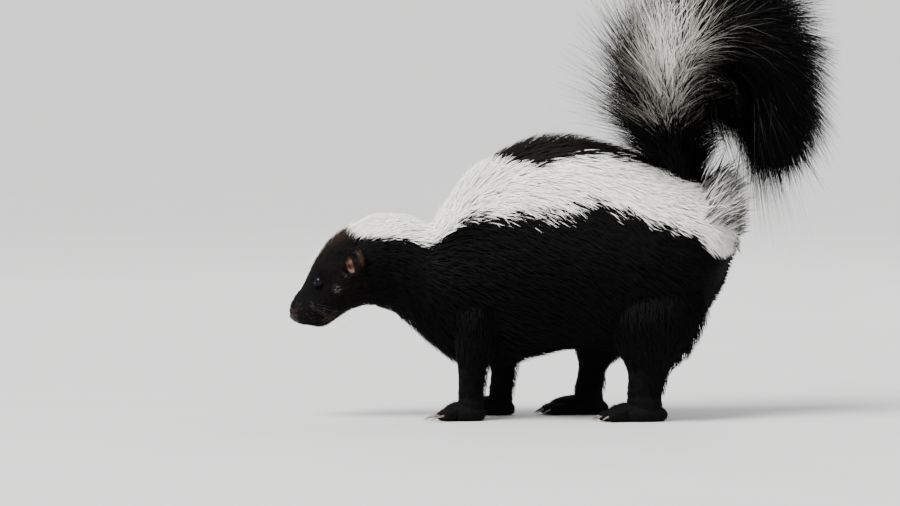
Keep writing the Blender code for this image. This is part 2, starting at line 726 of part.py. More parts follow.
def tail_lock(t, turn, shake):
    """Middle points and outward ways of a lock on the tail, shorter and flatter inside the bend."""
    _, middle, along, outer = tail_ring(t)
    _, _, radius, length, angle = at_station(TAIL, t)
    away = outer * math.cos(turn) + np.array((0.0, -1.0, 0.0)) * math.sin(turn)
    inner = max(0.0, -math.cos(turn))
    length = length * (1 - (1 - INNER_HAIR) * inner) * (1 + 0.16 * shake)
    angle = math.radians(angle) * (1 - 0.35 * inner)
    lie = along * math.cos(angle) + away * math.sin(angle)
    out = unit(away - lie * (away @ lie))
    root = middle + away * (radius - 0.001)
    width = TAIL_LOCK_WIDTH * (1 - 0.35 * inner) * min(1.0, 0.45 + 0.2 * t)
    middles = [root + lie * length * share - out * 0.10 * length * share**2 for share in TAIL_SHARES]
    return middles, [away, out, out], width


def tail_locks():
    """The tail's length that owns each lock, and its shape, row by row from the root to the tip."""
    chance = np.random.default_rng(TAIL_SEED)
    found = []
    for number, (row_t, count) in enumerate(TAIL_LOCK_ROWS):
        for place in range(count):
            shake = chance.uniform(-0.5, 0.5, 3)
            turn = 2 * math.pi * (place + 0.5 * (number % 2) + 0.3 * shake[0]) / count
            t = row_t + 0.24 * shake[1]
            found.append((int(t > TAIL_CUTS[0]) + int(t > TAIL_CUTS[1]), tail_lock(t, turn, shake[2])))
    return found


TAIL_NAMES = ("tail_base", "tail_middle", "tail_tip")


def tail_core(number, grow=0.0):
    ends = (0.0, *TAIL_CUTS, len(TAIL) - 1.0)
    first, last = ends[number] + TAIL_SEAM * (number > 0), ends[number + 1]
    reach = grow / 0.024
    ts = [first - reach, *spaced(first, last, 6)[1:-1], last + reach]
    return tube(TAIL_NAMES[number], [tail_ring(t, grow)[0] for t in ts])


def tail_blades(number, grow=0.0):
    return [blade(*shape, grow) for owner, shape in tail_locks() if owner == number]


def tail_piece(number):
    """One of the tail's lengths: its core with the locks rooted on it, clear of the lengths before it."""
    core = combine(tail_core(number), tail_blades(number), "UNION")
    cuts = [part for before in range(number) for part in (tail_core(before, CLEAR), *tail_blades(before, CLEAR))]
    return combine(core, cuts, "DIFFERENCE") if cuts else core


def digit(name, root, spread, length, width, claw_length):
    """A toe and its claw in one tapered piece, from inside the paw forwards to the claw's tip."""
    along = unit(np.array((-1.0, 0.28 * spread, 0.0)))
    across = np.array((-along[1], along[0], 0.0))
    knuckle, end = root + along * length * 0.55, root + along * length
    shape = (
        (root, 0.0050, width * 0.42, 0.0040),
        (knuckle, 0.0046, width * 0.50, 0.0044),
        (end, 0.0034, width * 0.34, 0.0030),
        (end, 0.0042, width * 0.20, 0.0014),
        (end + along * claw_length * 0.55, 0.0038, width * 0.15, 0.0012),
        (end + along * claw_length * 0.97, 0.0012, width * 0.04, 0.0004),
    )
    turn = 2 * np.pi * np.arange(6) / 6
    rings = []
    for number, (place, z, half_width, half_height) in enumerate(shape):
        middle = np.array((place[0], place[1], z)) + along * 0.0003 * number
        offset = np.outer(np.sin(turn) * half_width, across) + np.outer(np.cos(turn) * half_height, (0, 0, 1))
        rings.append(middle + offset)
    return tube(name, rings)


def paw_piece(name, stations, length, width, claw_length, heel_length):
    """A flat-soled paw with five toes and their claws, under the ankle that it carries."""
    ankle = stations[-1]
    y, top = ankle[4], ankle[1] - GAP
    heel = ankle[2] + heel_length
    middle = heel - length * 0.42
    paw = ellipsoid(name, (middle, y, 0.004), (length * 0.42, width * 0.46, PAW_HEIGHT), 12, 6)
    end = section(stations, len(stations) - 1.0, AROUND_LEG)
    more = [tube("stub", [end - np.array((0, 0, GAP)), end - np.array((0, 0, top - 0.004))])]
    for toe in range(5):
        spread = (toe - 2) / 2
        root = np.array((heel - length * (0.62 - 0.06 * spread**2), y + spread * width * 0.36, 0.0))
        more.append(digit("digit", root, spread, length * (0.30 - 0.05 * spread**2), width * 0.21, claw_length))
    combine(paw, more, "UNION")
    return combine(paw, [block("floor", (-1, -1, -0.1), (1, 1, 0.0))], "DIFFERENCE")


def ear_piece(side):
    """A low rounded cup that opens forwards and outwards."""
    sign = SIDES[side]
    centre = on_side(EAR_CENTRE, sign)
    ear = ellipsoid(f"ear_{side}", centre, EAR_RADII, 12, 8)
    cup = ellipsoid("cup", centre + on_side(EAR_CUP_OFFSET, sign), EAR_CUP_RADII, 10, 6)
    head = trunk_loft("seat", HEAD_ROWS, AROUND_HEAD, CLEAR)
    return combine(ear, [cup, head], "DIFFERENCE")


def eye_piece(side):
    return ellipsoid(f"eye_{side}", eye_place(side), (EYE_RADIUS,) * 3, 12, 8)


def stand_on_origin(items):
    """Moves the whole animal so that the middle of its box stands on the origin."""
    bpy.context.view_layer.update()
    points = np.array([item.matrix_world @ v.co for item in items for v in item.data.vertices])
    low, high = points.min(0), points.max(0)
    shift = Vector((-(low[0] + high[0]) / 2, -(low[1] + high[1]) / 2, -low[2]))
    for item in items:
        item.location += shift


def main():
    clear_scene()
    black = material("black coat", (0.012, 0.011, 0.011), 0.55)
    white = material("white coat", (0.80, 0.76, 0.68), 0.60)
    grizzled = material("grizzled tail coat", (0.30, 0.29, 0.27), 0.60)
    leather = material("nose leather", (0.045, 0.030, 0.028), 0.35)
    skin = material("ear skin", (0.22, 0.12, 0.10), 0.55)
    eye = material("eye", (0.004, 0.004, 0.005), 0.05)
    items = [
        finish(head_piece(), black),
        finish(nose_piece(), leather),
        finish(neck_piece(), black),
        finish(torso_piece(), black),
    ]
    for name, stations in LEGS.items():
        items.append(finish(leg_loft(f"leg_{name}", stations), black))
        sizes = PAW_SIZES[name.split("_")[0]]
        items.append(finish(paw_piece(f"paw_{name}", stations, *sizes), black))
    for name in STRIPS:
        items.append(finish(white_piece(name), white))
    for side in SIDES:
        items.append(finish(ear_piece(side), skin))
        items.append(finish(eye_piece(side), eye))
    for number in range(len(TAIL_NAMES)):
        items.append(finish(tail_piece(number), grizzled))
    stand_on_origin(items)


main()
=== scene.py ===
import math

import bmesh
import bpy
import numpy as np
from mathutils import Matrix, Vector
from mathutils.bvhtree import BVHTree
from mathutils.kdtree import KDTree


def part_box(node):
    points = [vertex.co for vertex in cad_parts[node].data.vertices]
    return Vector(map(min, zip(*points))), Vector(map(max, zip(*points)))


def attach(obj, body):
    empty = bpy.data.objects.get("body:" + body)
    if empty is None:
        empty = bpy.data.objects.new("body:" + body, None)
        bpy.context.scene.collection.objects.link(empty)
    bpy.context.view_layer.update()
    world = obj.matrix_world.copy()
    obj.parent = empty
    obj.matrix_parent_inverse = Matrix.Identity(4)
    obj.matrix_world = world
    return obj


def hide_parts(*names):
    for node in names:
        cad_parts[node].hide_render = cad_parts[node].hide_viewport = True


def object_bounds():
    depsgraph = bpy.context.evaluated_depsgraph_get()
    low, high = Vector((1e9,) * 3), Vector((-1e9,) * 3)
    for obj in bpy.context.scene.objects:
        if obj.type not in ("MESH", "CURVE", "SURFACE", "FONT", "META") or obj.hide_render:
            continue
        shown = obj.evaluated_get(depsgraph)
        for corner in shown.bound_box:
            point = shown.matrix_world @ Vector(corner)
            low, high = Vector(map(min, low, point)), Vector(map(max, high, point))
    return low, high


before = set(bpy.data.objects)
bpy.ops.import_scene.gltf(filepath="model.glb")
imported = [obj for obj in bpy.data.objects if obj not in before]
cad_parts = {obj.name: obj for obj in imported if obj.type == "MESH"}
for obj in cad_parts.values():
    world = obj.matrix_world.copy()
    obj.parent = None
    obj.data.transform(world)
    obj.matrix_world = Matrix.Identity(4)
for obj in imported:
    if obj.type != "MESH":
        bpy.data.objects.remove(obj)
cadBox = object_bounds()

# The animal stands with its head to -X. Its left side faces -Y and the camera.
eyePlace = (-.1540, .0178, .1098)  # x, distance from the middle plane, z
eyeRadius = .0042
lowEye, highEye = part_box("eye_left")
shiftX = (lowEye.x + highEye.x) / 2 - eyePlace[0]  # from the tables below to the frame
shiftY = (lowEye.y + highEye.y) / 2 + eyePlace[1]

# Outline pairs, nose to rump: top x, z, bottom x, z, middle y, half width, share that narrows the top
trunkRows = (
    (-.1782, .0868, -.1776, .0800, 0.0, .0035, 0.00),
    (-.1765, .0915, -.1740, .0770, 0.0, .0072, 0.00),
    (-.1748, .0945, -.1700, .0757, 0.0, .0088, 0.00),
    (-.1704, .1032, -.1608, .0736, 0.0, .0125, .05),
    (-.1648, .1140, -.1504, .0728, 0.0, .0172, .08),
    (-.1592, .1265, -.1400, .0792, 0.0, .0222, .10),
    (-.1520, .1372, -.1296, .0856, 0.0, .0268, .10),
    (-.1416, .1464, -.1200, .0888, 0.0, .0302, .08),
    (-.1280, .1552, -.1152, .0890, 0.0, .0320, .06),
    (-.1128, .1628, -.1090, .0880, 0.0, .0330, .04),
    (-.0912, .1648, -.0945, .0826, 0.0, .0350, .04),
    (-.0672, .1595, -.0790, .0700, 0.0, .0400, .06),
    (-.0520, .1728, -.0640, .0570, 0.0, .0465, .10),
    (-.0336, .1965, -.0456, .0450, 0.0, .0540, .14),
    (-.0096, .2150, -.0176, .0416, 0.0, .0600, .16),
    (.0144, .2256, .0104, .0464, 0.0, .0635, .17),
    (.0400, .2288, .0384, .0520, 0.0, .0670, .17),
    (.0704, .2240, .0688, .0528, 0.0, .0715, .16),
    (.1000, .2136, .1024, .0544, 0.0, .0740, .14),
    (.1280, .2016, .1344, .0640, 0.0, .0700, .12),
    (.1544, .1904, .1552, .0840, 0.0, .0590, .08),
    (.1712, .1744, .1680, .1088, 0.0, .0400, .04),
    (.1790, .1490, .1780, .1370, 0.0, .0100, 0.00),
)
# Legs, top to ankle: front x, z, back x, z, middle y, half width, share
legRows = {
    "front_left": (
        (-.0480, .1120, 0.0000, .1180, -.0300, .0150, 0.0),
        (-.0500, .0850, -.0060, .0870, -.0370, .0190, 0.0),
        (-.0480, .0600, -.0130, .0620, -.0375, .0170, 0.0),
        (-.0450, .0380, -.0190, .0390, -.0350, .0130, 0.0),
        (-.0440, .0200, -.0220, .0200, -.0330, .0110, 0.0),
    ),
    "front_right": (
        (-.0400, .1120, .0080, .1180, .0300, .0150, 0.0),
        (-.0340, .0850, .0100, .0870, .0370, .0190, 0.0),
        (-.0250, .0600, .0090, .0600, .0375, .0170, 0.0),
        (-.0190, .0380, .0050, .0370, .0350, .0130, 0.0),
        (-.0190, .0200, .0020, .0200, .0330, .0110, 0.0),
    ),
    "hind_left": (
        (.0760, .1180, .1480, .1280, -.0330, .0240, 0.0),
        (.0720, .0860, .1545, .0900, -.0450, .0300, 0.0),
        (.0800, .0600, .1440, .0610, -.0460, .0240, 0.0),
        (.0890, .0400, .1270, .0410, -.0420, .0160, 0.0),
        (.0900, .0220, .1200, .0220, -.0400, .0130, 0.0),
    ),
    "hind_right": (
        (.0500, .1180, .1260, .1280, .0330, .0240, 0.0),
        (.0480, .0860, .1240, .0900, .0450, .0300, 0.0),
        (.0480, .0600, .1040, .0600, .0460, .0240, 0.0),
        (.0520, .0400, .0800, .0400, .0420, .0160, 0.0),
        (.0500, .0220, .0750, .0220, .0400, .0130, 0.0),
    ),
}
# Tail, root to tip: x, z, core radius, hair beyond it, angle of the hair to the tail in degrees
tailRows = (
    (.1380, .1720, .0130, .022, 30),
    (.1340, .1950, .0140, .028, 42),
    (.1280, .2200, .0190, .042, 52),
    (.1260, .2450, .0240, .052, 54),
    (.1300, .2700, .0270, .053, 50),
    (.1420, .2920, .0280, .052, 46),
    (.1620, .3040, .0270, .050, 42),
    (.1830, .3010, .0250, .050, 38),
    (.1980, .2840, .0210, .048, 32),
    (.2060, .2620, .0150, .046, 24),
    (.2090, .2480, .0060, .040, 14),
)
# White coat on each side: station, upper edge and lower edge in degrees from the middle of the back
whiteRows = (
    (7.7, 0, 18), (8.4, 0, 46), (9.3, 0, 59), (9.9, 0, 60), (10.6, 0, 53), (11.7, 0, 53),
    (13.0, 0, 61), (14.0, 4, 65), (14.5, 30, 70), (15.3, 42, 74), (16.0, 36, 73), (17.0, 24, 66),
    (18.0, 21, 68), (19.0, 19, 70), (19.7, 17, 80), (20.3, 15, 94), (21.0, 14, 106),
)


def unit(v):
    return v / np.maximum(np.linalg.norm(v, axis=-1, keepdims=True), 1e-12)


def smooth(x):  # 0 below 0, 1 above 1 and soft between
    x = np.clip(x, 0, 1)
    return x * x * (3 - 2 * x)


def sided(place, sign):  # a place or a way, on the left (-1) or the right (1)
    return np.array((place[0], sign * place[1], place[2]))


def mixed(tint, other, share):
    return tint + (other - tint) * share[:, None]


def alongRows(rows, t):
    rows = np.asarray(rows, float)
    slopes = np.gradient(rows, axis=0)
    low = np.clip(np.floor(t).astype(int), 0, len(rows) - 2)
    u = (t - low)[:, None]
    return (
        rows[low] * (2 * u**3 - 3 * u**2 + 1)
        + slopes[low] * (u**3 - 2 * u**2 + u)
        + rows[low + 1] * (3 * u**2 - 2 * u**3)
        + slopes[low + 1] * (u**3 - u**2)
    )


def byStation(rows, t, column=1):  # a column's value at each station, which the first column gives
    rows = np.asarray(rows, float)
    return np.interp(t, rows[:, 0], rows[:, column])


def rowPoints(rows, t, angle, lift):  # angle 0 is the top or front, positive towards the left side
    ax, az, bx, bz, y, halfWidth, pear = alongRows(rows, t).T
    upX, upZ = (ax - bx) / 2, (az - bz) / 2
    halfHeight = np.hypot(upX, upZ)
    along = (halfHeight + lift) * np.cos(angle) / halfHeight
    across = (halfWidth + lift) * np.sin(angle) * (1 - pear * np.cos(angle))
    return np.stack(((ax + bx) / 2 + along * upX, y - across, (az + bz) / 2 + along * upZ), axis=1)


def trunkMiddle(t):
    rows = alongRows(trunkRows, t)
    return np.stack(((rows[:, 0] + rows[:, 2]) / 2, rows[:, 4], (rows[:, 1] + rows[:, 3]) / 2), axis=1)


# How deep the skin lies under the coat's outline: station, on the back, on the flank, on the belly
coatDepthRows = (
    (2.3, .0002, .0002, .0002), (4.0, .0010, .0010, .0008), (6.0, .0022, .0020, .0016),
    (8.0, .0040, .0036, .0030), (9.3, .0055, .0050, .0045), (11.4, .0085, .0075, .0065),
    (13.0, .0110, .0095, .0080), (16.0, .0125, .0105, .0080), (19.0, .0130, .0110, .0080),
    (21.0, .0165, .0180, .0160), (22.0, .0150, .0160, .0150),
)


def coatDepth(t, angle):
    back, flank, belly = (byStation(coatDepthRows, t, k) for k in (1, 2, 3))
    top, under = np.clip(np.cos(angle), 0, 1), np.clip(-np.cos(angle), 0, 1)
    return flank + (back - flank) * top + (belly - flank) * under


headEnd = 9.0  # the station where the head's forms have faded out
headFade = .8  # how many stations the fading takes
mouthForm = {
    "line": ((-.1790, .0795), (-.1720, .0790), (-.1640, .0772), (-.1560, .0764), (-.1480, .0790),
             (-.1400, .0850)),
    "grooveDepth": .0013, "grooveWidth": .0008,
    "frontShare": .35,  # the groove's depth at the middle plane, as a share
    "upperLip": .0006, "lowerLip": .0009, "lipAt": .0021, "lipWidth": .0012,
    "sideFrom": .003, "sideRun": .004,  # where the lips start, from the middle plane
}
# Bulges and hollows of the head: x, distance from the middle plane, z, reach, height
headForms = (
    (-.1490, .0180, .1185, .0080, .0016),  # brow
    (-.1545, .0190, .1098, .0062, -.0016),  # eye socket
    (-.1340, .0265, .1000, .0130, .0018),  # cheek
    (-.1625, .0140, .0875, .0062, .0016),  # whisker pad
    (-.1600, .0140, .0985, .0065, -.0010),  # side of the snout under the eye
)


def toMouth(x, z):  # distance to the mouth's line, and how far above it
    line = np.asarray(mouthForm["line"])
    best = np.full(len(x), 1.0)
    above = np.zeros(len(x))
    for start, end in zip(line[:-1], line[1:]):
        run = end - start
        share = np.clip(((x - start[0]) * run[0] + (z - start[1]) * run[1]) / (run @ run), 0, 1)
        dx, dz = x - start[0] - share * run[0], z - start[1] - share * run[1]
        d = np.hypot(dx, dz)
        closer = d < best
        best, above = np.where(closer, d, best), np.where(closer, dz, above)
    return best, above


def headRelief(p, t):
    mouth = mouthForm
    rise = np.zeros(len(p))
    for x, y, z, reach, height in headForms:
        d = (p[:, 0] - x) ** 2 + (np.abs(p[:, 1]) - y) ** 2 + (p[:, 2] - z) ** 2
        rise += height * np.exp(-d / (.55 * reach**2))
    d, above = toMouth(p[:, 0], p[:, 2])
    side = smooth((np.abs(p[:, 1]) - mouth["sideFrom"]) / mouth["sideRun"])
    groove = mouth["frontShare"] + (1 - mouth["frontShare"]) * side
    groove = groove * np.exp(-(d / mouth["grooveWidth"]) ** 2)
    lip = np.where(above < 0, mouth["lowerLip"], mouth["upperLip"])
    lip = lip * np.exp(-((d - mouth["lipAt"]) / mouth["lipWidth"]) ** 2)
    rise += lip * side - mouth["grooveDepth"] * groove
    return rise * smooth((headEnd - t) / headFade)


def trunkSurface(t, angle, lift=0.0):
    p = rowPoints(trunkRows, t, angle, lift - coatDepth(t, angle))
    head = t < headEnd
    if head.any():
        p[head] += unit(p[head] - trunkMiddle(t[head])) * headRelief(p[head], t[head])[:, None]
    return p


legCoat = .0035  # how deep a leg's skin lies under its outline, at the top


def legSurface(name):
    def surface(t, angle, lift=0.0):
        depth = legCoat * np.clip(1.3 - .22 * t, .3, 1.0)
        return rowPoints(legRows[name], t, angle, lift - depth)
    return surface


tailCoreShare = .62  # the skin's radius in the tail, as a share of the solid core's


def tailSurface(t, turn, lift=0.0):
    x, z, radius, _, _ = alongRows(tailRows, t).T
    ahead, behind = alongRows(tailRows, t + .05), alongRows(tailRows, t - .05)
    run = unit(ahead[:, :2] - behind[:, :2])
    size = radius * tailCoreShare + lift
    across = size * np.cos(turn)
    return np.stack((x - across * run[:, 1], -size * np.sin(turn), z + across * run[:, 0]), axis=1)


def frameOn(surface, t, angle):  # the point, and the ways along, around and out of the surface there
    step = .02
    here = surface(t, angle)
    along = unit(surface(t + step, angle) - surface(t - step, angle))
    around = unit(surface(t, angle + step) - surface(t, angle - step))
    out = unit(np.cross(around, along))
    away = here - surface(t, angle + np.pi)
    out *= np.sign(np.sum(out * away, axis=1))[:, None]
    return here, along, around, out


# meshes
def makeMesh(name, points, triangles):
    mesh = bpy.data.meshes.new(name)
    mesh.vertices.add(len(points))
    mesh.vertices.foreach_set("co", np.asarray(points, np.float32).ravel())
    mesh.loops.add(3 * len(triangles))
    mesh.loops.foreach_set("vertex_index", np.asarray(triangles, np.int32).ravel())
    mesh.polygons.add(len(triangles))
    mesh.polygons.foreach_set("loop_start", np.arange(len(triangles), dtype=np.int32) * 3)
    mesh.update(calc_edges=True)
    piece = bpy.data.objects.new(name, mesh)
    bpy.context.scene.collection.objects.link(piece)
    return piece


def pointsOf(piece):
    places = np.zeros(len(piece.data.vertices) * 3, np.float32)
    piece.data.vertices.foreach_get("co", places)
    return places.reshape(-1, 3)


def paintPoints(piece, name, tint):
    attribute = piece.data.attributes.new(name, "FLOAT_COLOR", "POINT")
    colours = np.column_stack((tint, np.ones(len(tint))))
    attribute.data.foreach_set("color", colours.astype(np.float32).ravel())


def gridTriangles(index):  # two for each cell of a grid of point numbers
    a, b, c, d = index[:-1, :-1], index[:-1, 1:], index[1:, 1:], index[1:, :-1]
    return np.concatenate([np.stack(corners, axis=2).reshape(-1, 3) for corners in ((a, b, c), (a, c, d))])


def pointOut(piece):
    body = bmesh.new()
    body.from_mesh(piece.data)
    bmesh.ops.recalc_face_normals(body, faces=body.faces)
    body.to_mesh(piece.data)
    body.free()
    return piece


def tubeMesh(name, points, rings, around):  # a tube of rings, closed at both ends
    points = np.asarray(points).reshape(rings, around, 3)
    index = tubeIndex(rings, around)
    first, last = np.full(around, rings * around), np.full(around, rings * around + 1)
    near = np.stack((first, index[0, 1:], index[0, :-1]), axis=1)
    far = np.stack((last, index[-1, :-1], index[-1, 1:]), axis=1)
    points = np.concatenate((points.reshape(-1, 3), (points[0].mean(0), points[-1].mean(0))))
    return pointOut(makeMesh(name, points, np.concatenate((gridTriangles(index), near, far))))


def tubeIndex(rings, around):  # the points' numbers, with the first one of each ring again at its end
    index = np.arange(rings * around).reshape(rings, around)
    return np.concatenate((index, index[:, :1]), axis=1)


def closedTube(name, points, rings, around):  # a tube whose last ring meets its first
    index = tubeIndex(rings, around)
    return pointOut(makeMesh(name, points, gridTriangles(np.concatenate((index, index[:1])))))


def ringGrid(ts, around):  # station and angle of each point of a tube
    t, angle = np.meshgrid(ts, 2 * np.pi * np.arange(around) / around, indexing="ij")
    return t.ravel(), angle.ravel()


def gridMesh(name, surface, ts, around):
    return tubeMesh(name, surface(*ringGrid(ts, around)), len(ts), around)


def sphereWays(theta, around):
    a, b = ringGrid(theta, around)
    return np.stack((np.sin(a) * np.cos(b), np.sin(a) * np.sin(b), np.cos(a)), axis=1)


def ball(name, centre, radii, around=32, rings=20):
    shape = sphereWays(np.pi * (np.arange(1, rings) / rings), around)
    return tubeMesh(name, np.asarray(centre) + shape * np.asarray(radii), rings - 1, around)


def unite(piece, others):
    group = bpy.data.collections.new("parts")
    bpy.context.scene.collection.children.link(group)
    for other in others:
        bpy.context.scene.collection.objects.unlink(other)
        group.objects.link(other)
    change = piece.modifiers.new("unite", "BOOLEAN")
    change.operation, change.operand_type, change.solver = "UNION", "COLLECTION", "MANIFOLD"
    change.collection = group
    graph = bpy.context.evaluated_depsgraph_get()
    mesh = bpy.data.meshes.new_from_object(piece.evaluated_get(graph))
    piece.modifiers.remove(change)
    piece.data = mesh
    for other in others:
        bpy.data.objects.remove(other)
    bpy.data.collections.remove(group)


def place(piece, slotName):
    piece.data.transform(Matrix.Translation((shiftX, shiftY, 0)))
    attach(piece, "root")
    return piece


# materials
def newMaterial(name, roughness, specular):
    made = bpy.data.materials.new(name)
    made.use_nodes = True
    shader = made.node_tree.nodes["Principled BSDF"]
    shader.inputs["Roughness"].default_value = roughness
    shader.inputs["Specular IOR Level"].default_value = specular
    return made, made.node_tree, shader


def addNode(tree, kind, **values):
    node = tree.nodes.new(kind)
    for name, value in values.items():
        if name in node.inputs:
            node.inputs[name].default_value = value
        else:
            setattr(node, name, value)
    return node


def addNoise(tree, scale, detail):
    coords = addNode(tree, "ShaderNodeTexCoord")
    noise = addNode(tree, "ShaderNodeTexNoise", Scale=scale, Detail=detail)
    tree.links.new(coords.outputs["Object"], noise.inputs["Vector"])
    return noise.outputs["Fac"]


def addRelief(tree, shader, height, strength, distance):
    relief = addNode(tree, "ShaderNodeBump", Strength=strength, Distance=distance)
    tree.links.new(height, relief.inputs["Height"])
    tree.links.new(relief.outputs["Normal"], shader.inputs["Normal"])


def addRamp(tree, shader, factor, colours, positions):
    ramp = addNode(tree, "ShaderNodeValToRGB")
    for element, colour, position in zip(ramp.color_ramp.elements, colours, positions):
        element.position = position
        element.color = (*colour, 1)
    tree.links.new(factor, ramp.inputs["Fac"])
    tree.links.new(ramp.outputs["Color"], shader.inputs["Base Color"])


def tintedMaterial(name, attribute, roughness, specular, noiseScale, noiseDepth, bump):
    made, tree, shader = newMaterial(name, roughness, specular)
    link = tree.links.new
    tint = addNode(tree, "ShaderNodeAttribute", attribute_name=attribute)
    noise = addNoise(tree, noiseScale, 3.0)
    depth = addNode(tree, "ShaderNodeMapRange")
    depth.inputs["To Min"].default_value = 1.0 - noiseDepth
    depth.inputs["To Max"].default_value = 1.0 + noiseDepth
    link(noise, depth.inputs["Value"])
    mix = addNode(tree, "ShaderNodeMix", data_type="RGBA", blend_type="MULTIPLY")
    mix.inputs[0].default_value = 1.0
    link(tint.outputs["Color"], mix.inputs[6])
    link(depth.outputs["Result"], mix.inputs[7])
    link(mix.outputs[2], shader.inputs["Base Color"])
    if bump:
        addRelief(tree, shader, noise, bump, .0006)
    return made


def plainMaterial(name, dark, pale, roughness, specular, coat, noiseScale, bump=0.0, bumpScale=900.0):
    made, tree, shader = newMaterial(name, roughness, specular)
    shader.inputs["Coat Weight"].default_value = coat
    shader.inputs["Coat Roughness"].default_value = .12
    addRamp(tree, shader, addNoise(tree, noiseScale, 4.0), (dark, pale), (.35, .65))
    if bump:
        addRelief(tree, shader, addNoise(tree, bumpScale, 5.0), bump, .0003)
    return made


coatMaterial = tintedMaterial("coat hair", "coatTint", .60, .035, 420.0, .12, 0.0)
skinMaterial = tintedMaterial("skin under the coat", "skinTint", .80, .06, 900.0, .30, .5)
earMaterial = tintedMaterial("ear skin", "skinTint", .65, .10, 700.0, .25, .5)
noseMaterial = tintedMaterial("nose leather", "skinTint", .34, .16, 1700.0, .35, .5)
eyeMaterial = plainMaterial(
    "wet eye", (.0015, .0018, .0030), (.0030, .0032, .0046), .09, .12, 0.0, 300.0)
lidMaterial = plainMaterial(
    "lid rim", (.0025, .002, .002), (.004, .003, .003), .60, .06, 0.0, 900.0, .4, 2500.0)
clawMaterial = plainMaterial(
    "claw horn", (.060, .045, .034), (.17, .13, .10), .38, .5, .1, 500.0, .15)
whiskerMaterial = plainMaterial(
    "whisker", (.004, .0035, .0035), (.012, .010, .009), .50, .12, 0.0, 300.0)

black = np.array((.0019, .0018, .0020))
brownBlack = np.array((.013, .009, .007))
cream = np.array((.97, .945, .89))


# markings
markForm = {
    "capFrom": 7.7, "capRun": .25,  # the station where the white on the head starts, and how fast it widens
    "soft": .02, "upperShake": np.radians(2.0), "lowerShake": np.radians(3.0),  # the edges, in radians
    "blazeHalf": .0048, "blazeFrom": 2.7, "blazeTo": 6.7, "blazeRaggedness": .0003,  # the line down the snout
}


def whiteOn(t, angle, shake=0.0):  # how white the coat is, 0 to 1; shake makes the edges ragged
    form = markForm
    turn = np.abs((angle + np.pi) % (2 * np.pi) - np.pi)
    upper, lower = (np.radians(byStation(whiteRows, t, k)) for k in (1, 2))
    lower = lower * smooth((t - form["capFrom"] - .05) / form["capRun"]) + form["lowerShake"] * shake
    upper = upper + form["upperShake"] * shake * (upper > .02)
    inside = smooth((turn - upper) / form["soft"] + .5 + (upper < .02))
    inside = inside * smooth((lower - turn) / form["soft"] + .5) * (t > form["capFrom"])
    across = turn * alongRows(trunkRows, t)[:, 5]
    blazeWidth = form["blazeHalf"] * smooth((t - form["blazeFrom"]) / .5) * smooth(form["blazeTo"] - t)
    blazeWidth = blazeWidth + form["blazeRaggedness"] * shake
    blaze = smooth((blazeWidth - across) / .0008 + .5) * (t < 7.0) * (blazeWidth > .0004)
    return np.maximum(inside, blaze)


# paws, and the skin that all of the body's forms unite in
pawForm = {
    "sizes": {"front": (.042, .028, .011), "hind": (.060, .030, .006)},  # length, width, claw
    "heel": {"front": .001, "hind": .004},  # how far the heel stands behind the ankle
    "soleRadii": (.41, .44, .0105),  # shares of length and width, and the height
    "toeWidth": .21,  # as a share of the paw's width
    # Along a digit: share of its length, half width as a share, half height, height of the middle
    "digit": ((0, .40, .0040, .0052), (.3, .46, .0044, .0050), (.55, .50, .0045, .0047),
              (.78, .45, .0040, .0042), (.93, .33, .0030, .0037), (1.0, .14, .0014, .0034)),
}
floorGap = .0001  # the lowest skin above the floor


def digitShape(root, along, length, width):
    across = np.array((-along[1], along[0], 0.0))
    around = 16
    turn = 2 * np.pi * np.arange(around) / around
    rings = []
    for share, wide, high, z in pawForm["digit"]:
        middle = root + along * length * share
        middle = np.array((middle[0], middle[1], z))
        offset = np.outer(np.sin(turn) * width * wide, across) + np.outer(np.cos(turn) * high, (0, 0, 1))
        ring = middle + offset
        ring[:, 2] = np.maximum(ring[:, 2], floorGap)
        rings.append(ring)
    return tubeMesh("digit", np.concatenate(rings), len(rings), around)


def pawParts(name):
    kind = name.split("_")[0]
    ankle = legRows[name][-1]
    length, width, clawLength = pawForm["sizes"][kind]
    heel = ankle[2] + pawForm["heel"][kind]
    lengthShare, widthShare, height = pawForm["soleRadii"]
    sole = (heel - length * .42, ankle[4], .0052)
    parts = [ball("sole", sole, (length * lengthShare, width * widthShare, height))]
    toes = []
    toeWidth = width * pawForm["toeWidth"]
    for toe in range(5):
        spread = (toe - 2) / 2
        root = np.array((heel - length * (.62 - .06 * spread**2), ankle[4] + spread * width * .36, 0.0))
        along = unit(np.array((-1.0, .28 * spread, 0.0)))
        toeLength = length * (.30 - .05 * spread**2)
        parts.append(digitShape(root, along, toeLength, toeWidth))
        toes.append((root, along, toeLength, clawLength))
    return parts, toes


def liftToFloor(piece):
    places = pointsOf(piece)
    places[:, 2] = np.maximum(places[:, 2], floorGap)
    piece.data.vertices.foreach_set("co", places.ravel())


trunkTs = np.concatenate((np.linspace(2.2, 9.0, 130), np.linspace(9.1, 22.0, 110)))  # denser on the head
skin = gridMesh("skin", trunkSurface, trunkTs, 192)
parts, toeList = [], []
for legName in legRows:
    parts.append(gridMesh("leg", legSurface(legName), np.linspace(0, 4.0, 40), 40))
    ankleRing = legSurface(legName)(*ringGrid((4.0,), 40))
    low = ankleRing.copy()
    low[:, 2] = .004
    parts.append(tubeMesh("ankle", np.concatenate((ankleRing + (0, 0, .002), low)), 2, 40))
    pawMeshes, toes = pawParts(legName)
    parts += pawMeshes
    toeList += toes
parts.append(gridMesh("tailCore", tailSurface, np.linspace(0, 10.0, 90), 32))
for part in parts:
    liftToFloor(part)
unite(skin, parts)
print("skin:", len(skin.data.polygons), "faces")


